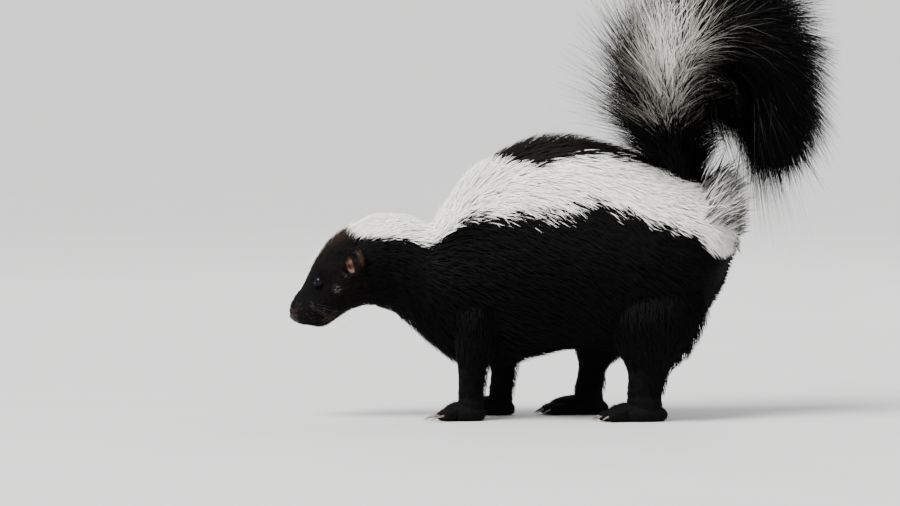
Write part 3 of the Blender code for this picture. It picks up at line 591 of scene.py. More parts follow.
def nearestTo(places, points):  # the number and the distance of the place nearest to each point
    tree = KDTree(len(places))
    for number, p in enumerate(places):
        tree.insert(p, number)
    tree.balance()
    found = [tree.find(p) for p in points]
    return np.array([f[1] for f in found]), np.array([f[2] for f in found])


def paintSkin():  # markings, bare lips, and painted shade as a dark line in the mouth's groove between them
    stations, angles = ringGrid(np.linspace(2.0, 22.0, 400), 180)
    places = pointsOf(skin).astype(float)
    nearest, distance = nearestTo(trunkSurface(stations, angles), places)
    t = stations[nearest]
    white = whiteOn(t, angles[nearest]) * (distance < .004)
    tint = mixed(black * 1.4, cream * .95, white)
    mouthNear, _ = toMouth(places[:, 0], places[:, 2])
    onLip = smooth((.0024 - mouthNear) / .0016) * (t < 8.0) * smooth((places[:, 0] + .155) / .007)
    tint = mixed(tint, np.array((.060, .031, .025)), onLip)
    # painted shade: a dark line along the mouth's groove between the lips
    tint *= 1 - .85 * (np.exp(-(mouthNear / .0006) ** 2) * (t < 8.0))[:, None]
    paintPoints(skin, "skinTint", tint)
    skin.data.materials.clear()
    skin.data.materials.append(skinMaterial)


paintSkin()
skinTree = BVHTree.FromObject(skin, bpy.context.evaluated_depsgraph_get())


# coat
def wave(seed, a, b, scale):  # a smooth random field over two coordinates
    draw = np.random.default_rng(seed)
    total = np.zeros(len(a))
    for _ in range(5):
        fa, fb, phase = draw.normal(0, scale), draw.normal(0, scale), draw.uniform(0, 2 * np.pi)
        total += np.sin(fa * a + fb * b + phase)
    return total / 2.2


wholeTurn = (-np.pi, np.pi)


def sown(surface, count, seed, tRange, weight=None, turn=wholeTurn):  # strands' roots, even over the area
    draw = np.random.default_rng(seed)
    nT, nA = 200, 90
    edgesT, edgesA = np.linspace(*tRange, nT + 1), np.linspace(*turn, nA + 1)
    t, a = np.meshgrid(edgesT, edgesA, indexing="ij")
    p = surface(t.ravel(), a.ravel()).reshape(nT + 1, nA + 1, 3)
    area = np.linalg.norm(np.cross(p[1:, :-1] - p[:-1, :-1], p[:-1, 1:] - p[:-1, :-1]), axis=2)
    if weight is not None:
        mids = np.meshgrid((edgesT[1:] + edgesT[:-1]) / 2, (edgesA[1:] + edgesA[:-1]) / 2, indexing="ij")
        area = area * weight(mids[0].ravel(), mids[1].ravel()).reshape(nT, nA)
    share = (area / area.sum()).ravel()
    cellT, cellA = np.divmod(draw.choice(nT * nA, size=count, p=share), nA)
    t = edgesT[cellT] + draw.random(count) * (edgesT[1] - edgesT[0])
    angle = edgesA[cellA] + draw.random(count) * (edgesA[1] - edgesA[0])
    return draw, t, angle, *frameOn(surface, t, angle)


tuftForm = {
    "profiles": {2: (.85, .75), 3: (.75, 1.0, .62)},  # width at each ring, as a share
    "ridge": .26,  # height of the three-sided section, as a share of the width
    "sink": .0012,  # how deep the root stands in the skin
    "lean": .68,  # how much the shading leans towards the skin's outward way, as in a dense coat
    "mostTriangles": 190000,  # in one piece
    "patch": .003,  # size of a strand's own patch in the UV map
}
plainTuft = {"flatten": .3, "droop": 0.0, "tintFrom": .3}  # what a coat doesn't state itself


def tuftSet(root, lie, out, order, spot, rootTint, **values):
    tufts = {"root": root, "lie": lie, "out": out, "side": unit(np.cross(lie, out)), "order": order,
             "spot": np.stack(spot, axis=1), "rootTint": rootTint, "tipTint": rootTint}
    for key, value in {**plainTuft, **values}.items():
        tufts[key] = np.full(len(root), value) if np.isscalar(value) else value
    return tufts


def pick(tufts, keep):
    return {key: value[keep] for key, value in tufts.items()}


def strandFaces(rings):
    faces = [(0, 1, 2)]
    for number in range(rings - 1):
        for k in range(3):
            a, b = 3 * number + k, 3 * number + (k + 1) % 3
            faces += [(a, a + 3, b), (b, a + 3, b + 3)]
    last = 3 * (rings - 1)
    return np.array(faces + [(last + k, 3 * rings, last + (k + 1) % 3) for k in range(3)])


down = np.array((0.0, 0.0, -1.0))


def alongStrand(tufts, share):  # the place at a share of each strand's length
    length, lift, flatten, sway, droop = (
        tufts[key][:, None] for key in ("length", "lift", "flatten", "sway", "droop"))
    way = (tufts["lie"] * np.cos(lift) + tufts["out"] * np.sin(lift) * (1 - flatten * share)
           + (tufts["side"] * sway + down * droop) * share)
    return tufts["root"] + way * (share * length)


def strandPoints(tufts, rings):  # points, and their shading ways
    out, side, width = tufts["out"], tufts["side"], tufts["width"][:, None]
    points = np.zeros((len(out), 3 * rings + 1, 3))
    shading = np.zeros_like(points)
    for number, broad in enumerate(tuftForm["profiles"][rings]):
        here = alongStrand(tufts, number / rings) - (out * tuftForm["sink"] if number == 0 else 0)
        half = side * width * broad / 2
        points[:, 3 * number] = here - half
        points[:, 3 * number + 1] = here + half
        points[:, 3 * number + 2] = here + out * width * broad * tuftForm["ridge"]
        for k, turn in enumerate((-1.0, 1.0, 0.0)):
            shading[:, 3 * number + k] = unit(out * tuftForm["lean"] + side * turn * (1 - tuftForm["lean"]))
    points[:, -1] = alongStrand(tufts, 1.0)
    shading[:, -1] = out
    lowest = .0002 + .0001 * np.arange(3 * rings + 1)  # keeps every point above the floor
    points[:, :, 2] = np.maximum(points[:, :, 2], lowest)
    return points, shading


def growTufts(name, tufts, rings, slotName):
    points, shading = strandPoints(tufts, rings)
    faces = strandFaces(rings)
    corners = points[0] - points[0][0]
    if sum(np.dot(corners[a], np.cross(corners[b], corners[c])) for a, b, c in faces) < 0:
        faces = faces[:, ::-1]
    count, stride = len(points), 3 * rings + 1
    share = np.concatenate((np.repeat(np.arange(rings) / rings, 3), (1.0,)))
    corner = np.concatenate((np.tile((0.0, 1.0, .5), rings), (.5,)))
    rootTint, tipTint = tufts["rootTint"][:, None, :], tufts["tipTint"][:, None, :]
    tint = rootTint + (tipTint - rootTint) * smooth((share - tufts["tintFrom"][:, None]) / .45)[:, :, None]
    order = np.argsort(tufts["order"], kind="stable")
    chunks = math.ceil(count / (tuftForm["mostTriangles"] // len(faces)))
    for number, chosen in enumerate(np.array_split(order, chunks)):
        triangles = (faces[None] + np.arange(len(chosen))[:, None, None] * stride).reshape(-1, 3)
        pieceName = f"{name}_{number + 1}" if chunks > 1 else name
        piece = makeMesh(pieceName, points[chosen].reshape(-1, 3), triangles)
        paintPoints(piece, "coatTint", tint[chosen].reshape(-1, 3))
        spot = tufts["spot"][chosen]
        low, high = spot.min(0), spot.max(0)
        spot = .01 + .975 * (spot - low) / np.maximum(high - low, 1e-9)
        u = spot[:, 0:1] + share[None] * tuftForm["patch"]
        v = spot[:, 1:2] + corner[None] * tuftForm["patch"]
        uv = np.stack((u, v), axis=2).reshape(-1, 2)[triangles.ravel()]
        layer = piece.data.uv_layers.new(name="OFBake")
        layer.data.foreach_set("uv", uv.astype(np.float32).ravel())
        piece.data.normals_split_custom_set_from_vertices(shading[chosen].reshape(-1, 3).tolist())
        piece.data.materials.append(coatMaterial)
        place(piece, slotName)
    print(name, count, "tufts,", count * len(faces), "triangles")


roomBeyond = np.array((.012, .0050, .010))  # how far a strand may reach beyond the solids' box


def fitted(tufts):  # shortens the strands that would reach too far
    low, high = (np.array(corner) - (shiftX, shiftY, 0.0) for corner in cadBox)
    for _ in range(14):
        tip = alongStrand(tufts, 1.0)
        outside = ((tip < low - roomBeyond) | (tip > high + roomBeyond)).any(axis=1)
        tufts = {**tufts, "length": np.where(outside, tufts["length"] * .93, tufts["length"])}
    return tufts


def aboveSkin(tufts):  # leaves out the strands whose roots are under another part of the skin
    keep = []
    for p in tufts["root"]:
        hit, normal, _, _ = skinTree.find_nearest(p)
        keep.append((Vector(p) - hit).dot(normal) >= -.0006)
    return pick(tufts, np.array(keep))


def turned(lie, around, slant):
    return unit(lie * np.cos(slant)[:, None] + around * np.sin(slant)[:, None])


def flattened(way, out):  # the part of a way that is square to another
    return way - out * np.sum(way * out, axis=1)[:, None]


trunkCoat = {
    "headCount": 15000, "bodyCount": 44000, "seed": 31,
    "lengthRows": ((2.3, .0020), (4.0, .0036), (6.0, .0056), (8.0, .0100), (9.3, .0140), (11.4, .0200),
                   (13.0, .0280), (16.0, .0320), (18.0, .0270), (19.3, .0205), (20.5, .0160), (22.0, .0130)),
    "widthRows": ((2.3, .00035), (6.0, .00055), (9.3, .0009), (13.0, .0014), (22.0, .0016)),
    "whiteDensity": 1.7,  # strands for each in the black coat
    "whiteWidth": .80,  # their width, as a share of the black ones'
    "shown": .68,  # the part of a strand's length that the eye sees, for the markings
    "rumpFrom": 18.4,  # the station behind which the hair is shorter and flatter
    "rumpShorter": .32, "rumpFlatter": .74,
    "fluffLift": .32, "fluffLonger": .55,  # on the crown, and the lift on the snout's white line
    "crownTint": (.050, .028, .020),
    "paleSpots": ((-.1424, .0270, .1024), (-.1342, .0300, .1156)),  # on the cheek and under the ear
    "spotReach": .0056, "spotTint": (.14, .115, .09),
    "specks": .10, "speckTint": (.10, .075, .065),  # at the roots of the whiskers
}


def darkHair(draw, t, top, root):  # black, browner on the head, with painted sheen as a brown tinge along the top of the back, and with the pale spots
    form, count = trunkCoat, len(t)
    # painted sheen: the brown along the top of the back stands in for light glancing off the crest; the brown
    # on the head is the hair's own colour
    brown = .5 * smooth((top - .6) / .3) + .45 * smooth((9.0 - t) / 2.0) * draw.random(count)
    dark = black * draw.uniform(.6, 1.5, (count, 1)) + brownBlack * brown[:, None]
    crown = .8 * smooth((t - 5.8) / .8) * (t < 7.9) * smooth((top - .75) / .15) * draw.random(count)
    dark = mixed(dark, form["crownTint"], crown)
    mirrored = np.stack((root[:, 0], np.abs(root[:, 1]), root[:, 2]), axis=1)
    for spot in form["paleSpots"]:
        away = np.linalg.norm(mirrored - np.array(spot), axis=1)
        onSpot = .9 * smooth((form["spotReach"] - away) / .003) * draw.random(count)
        dark = mixed(dark, form["spotTint"], onSpot)
    speck = (draw.random(count) < form["specks"]) & (t < 4.6) & (root[:, 2] < .093)
    return np.where(speck[:, None], form["speckTint"], dark)


def trunkTufts(count, tRange, seed):
    form = trunkCoat
    draw, t, angle, root, along, around, out = sown(
        trunkSurface, count, seed, tRange, lambda t, a: 1 + (form["whiteDensity"] - 1) * whiteOn(t, a))
    top = np.cos(angle)
    under = smooth((np.abs(angle) - 1.7) / .8)
    length = byStation(form["lengthRows"], t) * draw.uniform(.75, 1.15, count) * (1 - .25 * under)
    width = byStation(form["widthRows"], t) * draw.uniform(.7, 1.25, count)
    belowTail = smooth((t - form["rumpFrom"]) / 1.5) * smooth((.35 - top) / .6)
    length = length * (1 - form["rumpShorter"] * belowTail)
    clump = wave(seed + 1, root[:, 0] * 60, angle * 4, 1.3)
    reach = np.clip(coatDepth(t, angle) / length * 1.15, .08, .75)
    lift = np.arcsin(np.clip(reach * draw.uniform(.85, 1.25, count) * (1 + .15 * clump), .05, .9))
    rump = smooth((t - form["rumpFrom"]) / 2.4)
    lift = lift * (1 - form["rumpFlatter"] * rump)
    slant = (.50 * np.sin(angle) * smooth((t - 9) / 4)
             + .10 * wave(seed + 2, root[:, 0] * 45, angle * 3, 1.5) + draw.normal(0, .09, count))
    sweep = -.95 + 1.40 * smooth((top - .1) / .6)  # up behind the tail's root, down below it
    lie = unit(turned(along, around, slant) + np.array((0.0, 0.0, 1.0)) * (rump * sweep)[:, None])
    shake = draw.normal(0, 1, count) + .8 * wave(seed + 3, root[:, 0] * 70, angle * 5, 1.5)
    # a strand has the colour of the place where its seen part lies
    stationRun = np.linalg.norm(trunkSurface(t + .05, angle) - trunkSurface(t - .05, angle), axis=1) / .1
    seen = form["shown"] * length
    halfWidth = np.maximum(alongRows(trunkRows, np.minimum(t, 20.0))[:, 5], .004)
    seenT = np.minimum(t + seen * np.cos(slant) / stationRun * (1 - rump), 22.0)
    white = whiteOn(seenT, angle + seen * np.sin(slant) / halfWidth, shake) * (1 - .12 * smooth(t - 20.6))
    isWhite = draw.random(count) < white
    width = width * np.where(isWhite, form["whiteWidth"], 1.0)
    fluff = smooth((t - 5.6) / .6) * (t < 7.8) * smooth((top - .45) / .3) * draw.random(count)
    lift = lift + form["fluffLift"] * ((isWhite & (t < 7.0)) + fluff)
    length = length * (1 + form["fluffLonger"] * fluff)
    dark = darkHair(draw, t, top, root)
    pale = cream * draw.uniform(.88, 1.03, (count, 1))
    isWhite = isWhite[:, None]
    return tuftSet(
        root, lie, out, t, (t, angle), np.where(isWhite, pale * .95, dark),
        tipTint=np.where(isWhite, pale, dark), length=length, width=width, lift=lift, flatten=.35,
        sway=draw.normal(0, .08, count), droop=.06 * smooth((t - 10) / 4),
    )


legHair = {
    "counts": {"front": 2600, "hind": 4200}, "seed": 71,
    "length": .017, "shorter": .0024,  # at the leg's top, and what goes off it at each station
    "width": .0013, "thinner": .00012,
    "lift": np.radians(13), "backLift": .10,  # more along the back of the leg
    "backward": .16,  # how much the hair is swept towards the rump
}


def legTufts(name, seed):
    form = legHair
    count = form["counts"][name.split("_")[0]]
    draw, t, angle, root, along, around, out = sown(legSurface(name), count, seed, (0.0, 3.95))
    length = (form["length"] - form["shorter"] * t) * draw.uniform(.75, 1.2, count)
    width = (form["width"] - form["thinner"] * t) * draw.uniform(.7, 1.2, count)
    lift = form["lift"] * draw.uniform(.7, 1.4, count) + form["backLift"] * smooth(-np.cos(angle))
    lie = unit(turned(along, around, draw.normal(0, .12, count)) + (form["backward"], 0, 0))
    # painted shade: the hair is darker towards the leg's top, to offset the light that falls on it there
    dark = black * draw.uniform(.6, 1.5, (count, 1)) * (1 - .6 * smooth((1.8 - t) / 1.4))[:, None]
    return tuftSet(root, lie, out, t, (t, angle), dark, length=length, width=width, lift=lift,
                   flatten=.4, sway=draw.normal(0, .08, count))


pawCoat = {
    "count": 5600, "seed": 81, "length": .0046, "width": .00055, "lift": np.radians(15),
    "low": .0015, "high": .026,  # the heights between which it grows
    "ahead": (-.75, 0.0, -.55),  # the way it lies
}


def faceValues(name, size):
    values = np.zeros(len(skin.data.polygons) * size)
    skin.data.polygons.foreach_get(name, values)
    return values.reshape(-1, size)


def pawTufts():
    form = pawCoat
    count = form["count"]
    draw = np.random.default_rng(form["seed"])
    centres, normals, areas = faceValues("center", 3), faceValues("normal", 3), faceValues("area", 1)[:, 0]
    onPaw = (centres[:, 2] < form["high"]) & (centres[:, 2] > form["low"]) & (normals[:, 2] > -.4)
    share = areas * onPaw
    chosen = draw.choice(len(share), size=count, p=share / share.sum())
    out = normals[chosen]
    shift = draw.normal(0, .4, (count, 3)) * np.sqrt(areas[chosen])[:, None]
    root = centres[chosen] + flattened(shift, out)
    lie = unit(flattened(np.array(form["ahead"]) + draw.normal(0, .15, (count, 3)), out))
    dark = black * draw.uniform(.7, 1.7, (count, 1)) + brownBlack * .3 * draw.random((count, 1))
    clear = np.clip((root[:, 2] - .0010) / .004, .25, 1.0)  # shorter next to the floor
    return tuftSet(
        root, lie, out, root[:, 0], (root[:, 0], root[:, 1]), dark,
        length=form["length"] * draw.uniform(.7, 1.2, count) * clear,
        width=form["width"] * draw.uniform(.7, 1.2, count),
        lift=form["lift"] * draw.uniform(.6, 1.4, count), flatten=.5, sway=draw.normal(0, .08, count),
    )


tailCoat = {
    "count": 27000, "width": .00100, "seed": 61,
    "spare": .012,  # length beyond the outline, because the hair leans
    "innerShare": .95,  # length of the hair inside the bend, as a share of the outer side's
    "innerDroop": 1.20,  # how far it hangs into the bend, as a share of its length
    "innerLift": np.radians(24),  # how much more that hair stands up near the tail's root
    "wisps": .10, "wispLength": 1.20,  # the share of longer strands, and their length
    "clumpLift": np.radians(9), "clumpSlant": .16, "looseLift": np.radians(7), "looseSlant": .07,
    "paleX": .124, "paleReach": .018, "paleFrom": .226,  # the white streaks' place and lowest height
    "grey": (1.0, .93, .84), "greyBefore": .184,  # the x where the grey ends
    "blackBefore": .084,  # the x where the black front edge ends
}


def tailTints(draw, t, turn, x, z, tipX):  # by the place of each strand's middle, and of its tip
    form, count = tailCoat, len(t)
    reach = form["paleReach"] + .010 * smooth((z - .27) / .04)
    centred = np.exp(-((x - form["paleX"]) / reach) ** 2) * (.30 + .70 * smooth((z - .240) / .045))
    greyed = smooth((form["greyBefore"] - x) / .03)
    chance = (.08 + .40 * greyed + .46 * centred) * smooth((z - form["paleFrom"]) / .025)
    chance = chance * (.35 + .65 * smooth((x - form["blackBefore"]) / .024))
    chance = np.clip(chance * (1 + .5 * wave(form["seed"] + 3, t * 2.5, turn * 4, 1.2)), 0, .97)
    isPale = (draw.random(count) < chance)[:, None]
    grey = np.array(form["grey"]) * (draw.uniform(.03, .22, count) * (.35 + .65 * greyed))[:, None]
    pale = cream * (grey + (.66 * centred ** 1.5 * draw.uniform(.45, 1.0, count))[:, None])
    dark = black * draw.uniform(.7, 1.8, (count, 1))
    darkTip = (draw.random(count) < .75 - .50 * centred + smooth((.094 - tipX) / .015))[:, None]
    return np.where(isPale, pale, dark), np.where(isPale & ~darkTip, pale, dark)


def tailTufts():
    form = tailCoat
    count, seed = form["count"], form["seed"]

    def density(t, turn):
        return (1 + .3 * (t > 2) + .8 * (t > 8)) * (1 + .5 * np.clip(-np.cos(turn), 0, 1))

    draw, t, turn, root, along, around, out = sown(tailSurface, count, seed, (0.0, 10.0), density)
    _, _, radius, hair, hairTurn = alongRows(tailRows, t).T
    inner = np.clip(-np.cos(turn), 0, 1)
    outer = np.clip(np.cos(turn) + .3, 0, 1) * smooth(t - 1.4) * smooth((7.6 - t) / 1.6)
    clump = wave(seed + 1, t * 2.2, turn * 3, 1.3)
    length = hair + radius * (1 - tailCoreShare) + form["spare"]
    length = length * (1 - (1 - form["innerShare"]) * inner) * draw.uniform(.55, 1.12, count)
    isWisp = draw.random(count) < form["wisps"] * (1 + 1.8 * outer)
    length = length * np.where(isWisp, form["wispLength"] + .24 * outer, 1.0 + .08 * outer)
    length = length * (1 + .10 * clump)
    hanging = form["innerDroop"] * inner * smooth((t - 3.0) / .8) * smooth((8.6 - t) / 1.2)
    lift = np.radians(hairTurn) * (1 - .10 * inner) + form["innerLift"] * inner * smooth(t - .5) * (t < 4.5)
    lift += form["clumpLift"] * clump + form["looseLift"] * draw.normal(0, 1, count)
    slant = form["clumpSlant"] * wave(seed + 2, t * 1.6, turn * 3, 1.3)
    lie = turned(along, around, slant + draw.normal(0, form["looseSlant"], count))
    way = turned(lie, out, lift)
    x, _, z = (root + way * (.5 * length)[:, None]).T
    z = z - .25 * hanging * length
    tipX = x + way[:, 0] * .4 * length
    rootTint, tipTint = tailTints(draw, t, turn, x, z, tipX)
    return tuftSet(
        root, lie, out, t, (t, turn), rootTint, tipTint=tipTint, length=length,
        width=form["width"] * draw.uniform(.6, 1.2, count), lift=np.clip(lift, .08, 1.5), flatten=.22,
        sway=draw.normal(0, .16, count),
        droop=draw.uniform(0.0, .16, count) + hanging * draw.uniform(.6, 1.1, count),
        tintFrom=draw.uniform(.35, .75, count),
    )


fringe = {  # loose pale hair behind the tail's root
    "count": 3400, "length": .060, "width": .0009, "seed": 66,
    "front": .1440, "rear": .1780,  # the x where it starts, and where it has become short
    "shorter": .74, "lie": (.80, 0.0, .72),
    "stations": (18.8, 21.7), "turn": (-1.2, 1.2),
    "paleShare": .56, "darkTips": .45,
}


def fringeTufts():
    form = fringe
    count = form["count"]
    draw, t, angle, root, _, _, away = sown(
        trunkSurface, count, form["seed"], form["stations"], turn=form["turn"])
    lie = unit(np.array(form["lie"]) + draw.normal(0, .16, (count, 3)) * (1, 1.3, 1))
    rearward = np.clip((root[:, 0] - form["front"]) / (form["rear"] - form["front"]), 0, 1)
    isPale = draw.random(count) < form["paleShare"]
    shade = np.where(isPale, draw.uniform(.30, .90, count), draw.uniform(.003, .12, count))
    tint = cream * shade[:, None]
    tufts = tuftSet(
        root, lie, unit(flattened(away, lie)), t, (t, angle), tint,
        tipTint=tint * np.where(draw.random(count) < form["darkTips"], .15, 1.0)[:, None],
        length=form["length"] * draw.uniform(.45, 1.05, count) * (1 - form["shorter"] * rearward),
        width=form["width"] * draw.uniform(.7, 1.2, count), lift=.12, sway=draw.normal(0, .15, count),
        droop=draw.uniform(0.0, .2, count), tintFrom=draw.uniform(.3, .6, count),
    )
    return pick(tufts, root[:, 0] > form["front"] + .012 * draw.random(count) ** 2)


# eyes, nose and ears
eyeForm = {
    "look": (-.30, .94, .14),
    "openLong": .00385, "openHigh": .0029,  # half sizes of the opening between the lids
    "lowerShare": .86,  # height of the opening's lower half, as a share of the upper half's
    "tilt": math.radians(20),  # the opening rises towards the ear
    "rings": 72,
    # Around the lids' section: distance from the eye's middle as a share of the opening's, height
    "section": ((1.00, .00008), (1.02, .00050), (1.16, .00085), (1.38, .00070), (1.62, .00020),
                (1.85, -.0007), (1.80, -.0016), (1.35, -.0008), (1.08, -.0003)),
}


def buildEye(sideName, sign):
    form = eyeForm
    centre = sided(eyePlace, sign)
    eye = ball("eyeball_" + sideName, centre, (eyeRadius,) * 3, 40, 26)
    eye.data.materials.append(eyeMaterial)
    place(eye, "eye")
    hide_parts("eye_" + sideName)
    look = unit(sided(form["look"], sign))
    ahead = unit(np.array((-1.0, 0.0, 0.0)) + look * look[0])
    high = np.cross(look, ahead)
    high *= np.sign(high[2])
    long = ahead * math.cos(form["tilt"]) - high * math.sin(form["tilt"])
    tall = ahead * math.sin(form["tilt"]) + high * math.cos(form["tilt"])
    points = []
    for turn in 2 * np.pi * np.arange(form["rings"]) / form["rings"]:
        share = 1.0 if turn < math.pi else form["lowerShare"]
        across, up = math.cos(turn) * form["openLong"], math.sin(turn) * form["openHigh"] * share
        reach = math.hypot(across, up)
        way = (long * across + tall * up) / reach
        for grow, rise in form["section"]:
            theta = math.asin(min(.97, reach / eyeRadius)) * grow ** .62
            points.append(centre + (look * math.cos(theta) + way * math.sin(theta)) * (eyeRadius + rise))
    lids = closedTube("lids_" + sideName, points, form["rings"], len(form["section"]))
    lids.data.materials.append(lidMaterial)
    place(lids, "black_coat")


noseForm = {
    "nostrils": (((-.1768, .0046, .0852), (.0034, .0021, .0023), .0026),
                 ((-.1742, .0084, .0838), (.0034, .0030, .0011), .0016)),  # place, radii, depth
    "grooveDepth": .0007, "grooveTop": .0862,  # down the middle of the pad
    "puffs": ((.0075, .0880), .003, .0006),  # above the nostrils: y and z, reach, height
    "padTop": .0878, "padBack": -.1720,  # where the bare pad ends above and behind
    "edge": .0012, "padTint": (.012, .0038, .0032),
    "hairs": 4200, "hairLength": .0022, "hairWidth": .00034, "hairLift": np.radians(16), "seed": 41,
}


def noseSurface(t, angle):
    form = noseForm
    swell = .0001 * smooth(t - .2) - .0009 * smooth((t - 2.3) / .4)  # it ends inside the skin
    p = rowPoints(trunkRows, t, angle, swell)
    sink = form["grooveDepth"] * np.exp(-(p[:, 1] / .0005) ** 2)
    sink = sink * smooth((form["grooveTop"] - p[:, 2]) / .002)
    for sign in (-1, 1):
        for spot, radii, depth in form["nostrils"]:
            away = (p - sided(spot, sign)) / np.array(radii)
            sink += depth * smooth(1.25 - np.linalg.norm(away, axis=1))
    (puffY, puffZ), reach, height = form["puffs"]
    sink -= height * np.exp(-((np.abs(p[:, 1]) - puffY) ** 2 + (p[:, 2] - puffZ) ** 2) / reach**2)
    inward = unit(trunkMiddle(t) - p + np.array((.004, 0, 0)))
    return p + inward * sink[:, None]


def noseTufts():
    form = noseForm
    count = form["hairs"]
    draw, t, angle, root, along, around, out = sown(noseSurface, count, form["seed"], (.3, 2.75))
    edge = .0004 * draw.normal(0, 1, count)
    bare = (root[:, 2] < form["padTop"] + edge) & (root[:, 0] < form["padBack"] + edge)
    lie = turned(along, around, draw.normal(0, .15, count))
    dark = black * draw.uniform(.8, 1.6, (count, 1)) + brownBlack * draw.uniform(.1, .6, (count, 1))
    tufts = tuftSet(
        root, lie, out, t, (t, angle), dark, length=form["hairLength"] * draw.uniform(.7, 1.2, count),
        width=form["hairWidth"] * draw.uniform(.8, 1.2, count),
        lift=form["hairLift"] * draw.uniform(.7, 1.3, count), flatten=.4, sway=draw.normal(0, .08, count),
    )
    return pick(tufts, ~bare)


def buildNose():
    form = noseForm
    ts = np.concatenate((np.linspace(0.0, 2.0, 46), np.linspace(2.05, 2.75, 12)))
    nose = gridMesh("nosePad", noseSurface, ts, 96)
    places = pointsOf(nose)
    bare = smooth((form["padTop"] - places[:, 2]) / form["edge"] + .5)
    bare = bare * smooth((form["padBack"] - places[:, 0]) / form["edge"] + .5)
    paintPoints(nose, "skinTint", mixed(black, form["padTint"], bare))
    nose.data.materials.append(noseMaterial)
    place(nose, "nose_leather")
    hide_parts("nose")


earForm = {
    "centre": (-.1252, .0312, .1245), "radii": (.0088, .0064, .0096),
    "opening": (-.60, .78, .10),  # where the cup opens
    "cup": .0060, "rim": .0006, "fold": .0010,  # the cup's depth, the rim's height, the folds' height
    "stripX": -.1298, "stripLean": -.36, "stripHalf": .0030,  # the bare strip along the cup's front wall
    "pink": (.115, .054, .043), "brown": (.0045, .0034, .0032), "rearTint": (.085, .052, .036),
    "hairs": 1700, "hairSeed": 51, "hairUp": (.25, 0.0, .95), "hairWidth": .00052,
    "cupHair": (.0066, .55), "outerHair": (.0054, .30),  # length and lift
}


def pastStrip(points):  # how far behind the middle of the bare strip
    return points[:, 0] - earForm["stripX"] - earForm["stripLean"] * (points[:, 2] - earForm["centre"][2])


def earPoints(sign, directions):  # points, how deep in the cup, how near to where it opens
    form = earForm
    opening = unit(sided(form["opening"], sign))
    towards = directions @ opening
    inside = smooth((towards - .42) / .42)
    rim = np.exp(-((towards - .38) / .10) ** 2)
    fold = form["fold"] * np.sin(directions[:, 2] * 7.0) * inside
    sink = form["cup"] * inside - form["rim"] * rim - fold
    p = sided(form["centre"], sign) + directions * np.asarray(form["radii"])
    return p - opening * sink[:, None], inside, towards


def buildEar(sideName, sign):
    form = earForm
    rings, around = 52, 72
    directions = sphereWays(np.pi * (np.arange(1, rings + 1) / (rings + 1)), around)
    points, inside, _ = earPoints(sign, directions)
    ear = tubeMesh("earCup_" + sideName, points, rings, around)
    bare = inside * smooth((form["stripHalf"] - np.abs(pastStrip(points))) / .0012 + .5)
    bare = np.concatenate((bare, (0.0, 0.0)))  # the tube's two end points
    paintPoints(ear, "skinTint", mixed(np.array(form["brown"]), form["pink"], smooth(bare / .8)))
    ear.data.materials.append(earMaterial)
    place(ear, "ear_skin")
    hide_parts("ear_" + sideName)


def earTufts(sign):
    form = earForm
    count = form["hairs"]
    draw = np.random.default_rng(form["hairSeed"] + sign)
    directions = unit(draw.normal(0, 1, (count, 3)))
    points, inside, towards = earPoints(sign, directions)
    opening = unit(sided(form["opening"], sign))
    out = unit(directions / np.asarray(form["radii"]))
    lie = unit(flattened(np.array(form["hairUp"]), out))
    inCup = inside > .25
    behind = pastStrip(points)
    bare = inCup & (np.abs(behind) < form["stripHalf"] * .8)
    keep = ~bare | (draw.random(count) < .02)
    across = np.where(inCup[:, None], unit(out * .25 + opening * .9), out)
    dark = black * draw.uniform(.8, 2.0, (count, 1)) + brownBlack * .4
    rearRim = np.exp(-((towards - .34) / .14) ** 2) * smooth((behind - .0065) / .002)
    tint = mixed(dark, form["rearTint"], rearRim * draw.uniform(.3, 1.0, count))
    length, lift = (np.where(inCup, form["cupHair"][k], form["outerHair"][k]) for k in (0, 1))
    spot = (np.arctan2(directions[:, 1], directions[:, 0]), directions[:, 2])
    tufts = tuftSet(
        points, lie, across, towards, spot, tint, length=length * draw.uniform(.7, 1.3, count),
        width=form["hairWidth"] * draw.uniform(.7, 1.2, count), lift=lift, sway=draw.normal(0, .1, count),
    )
    return pick(tufts, keep)


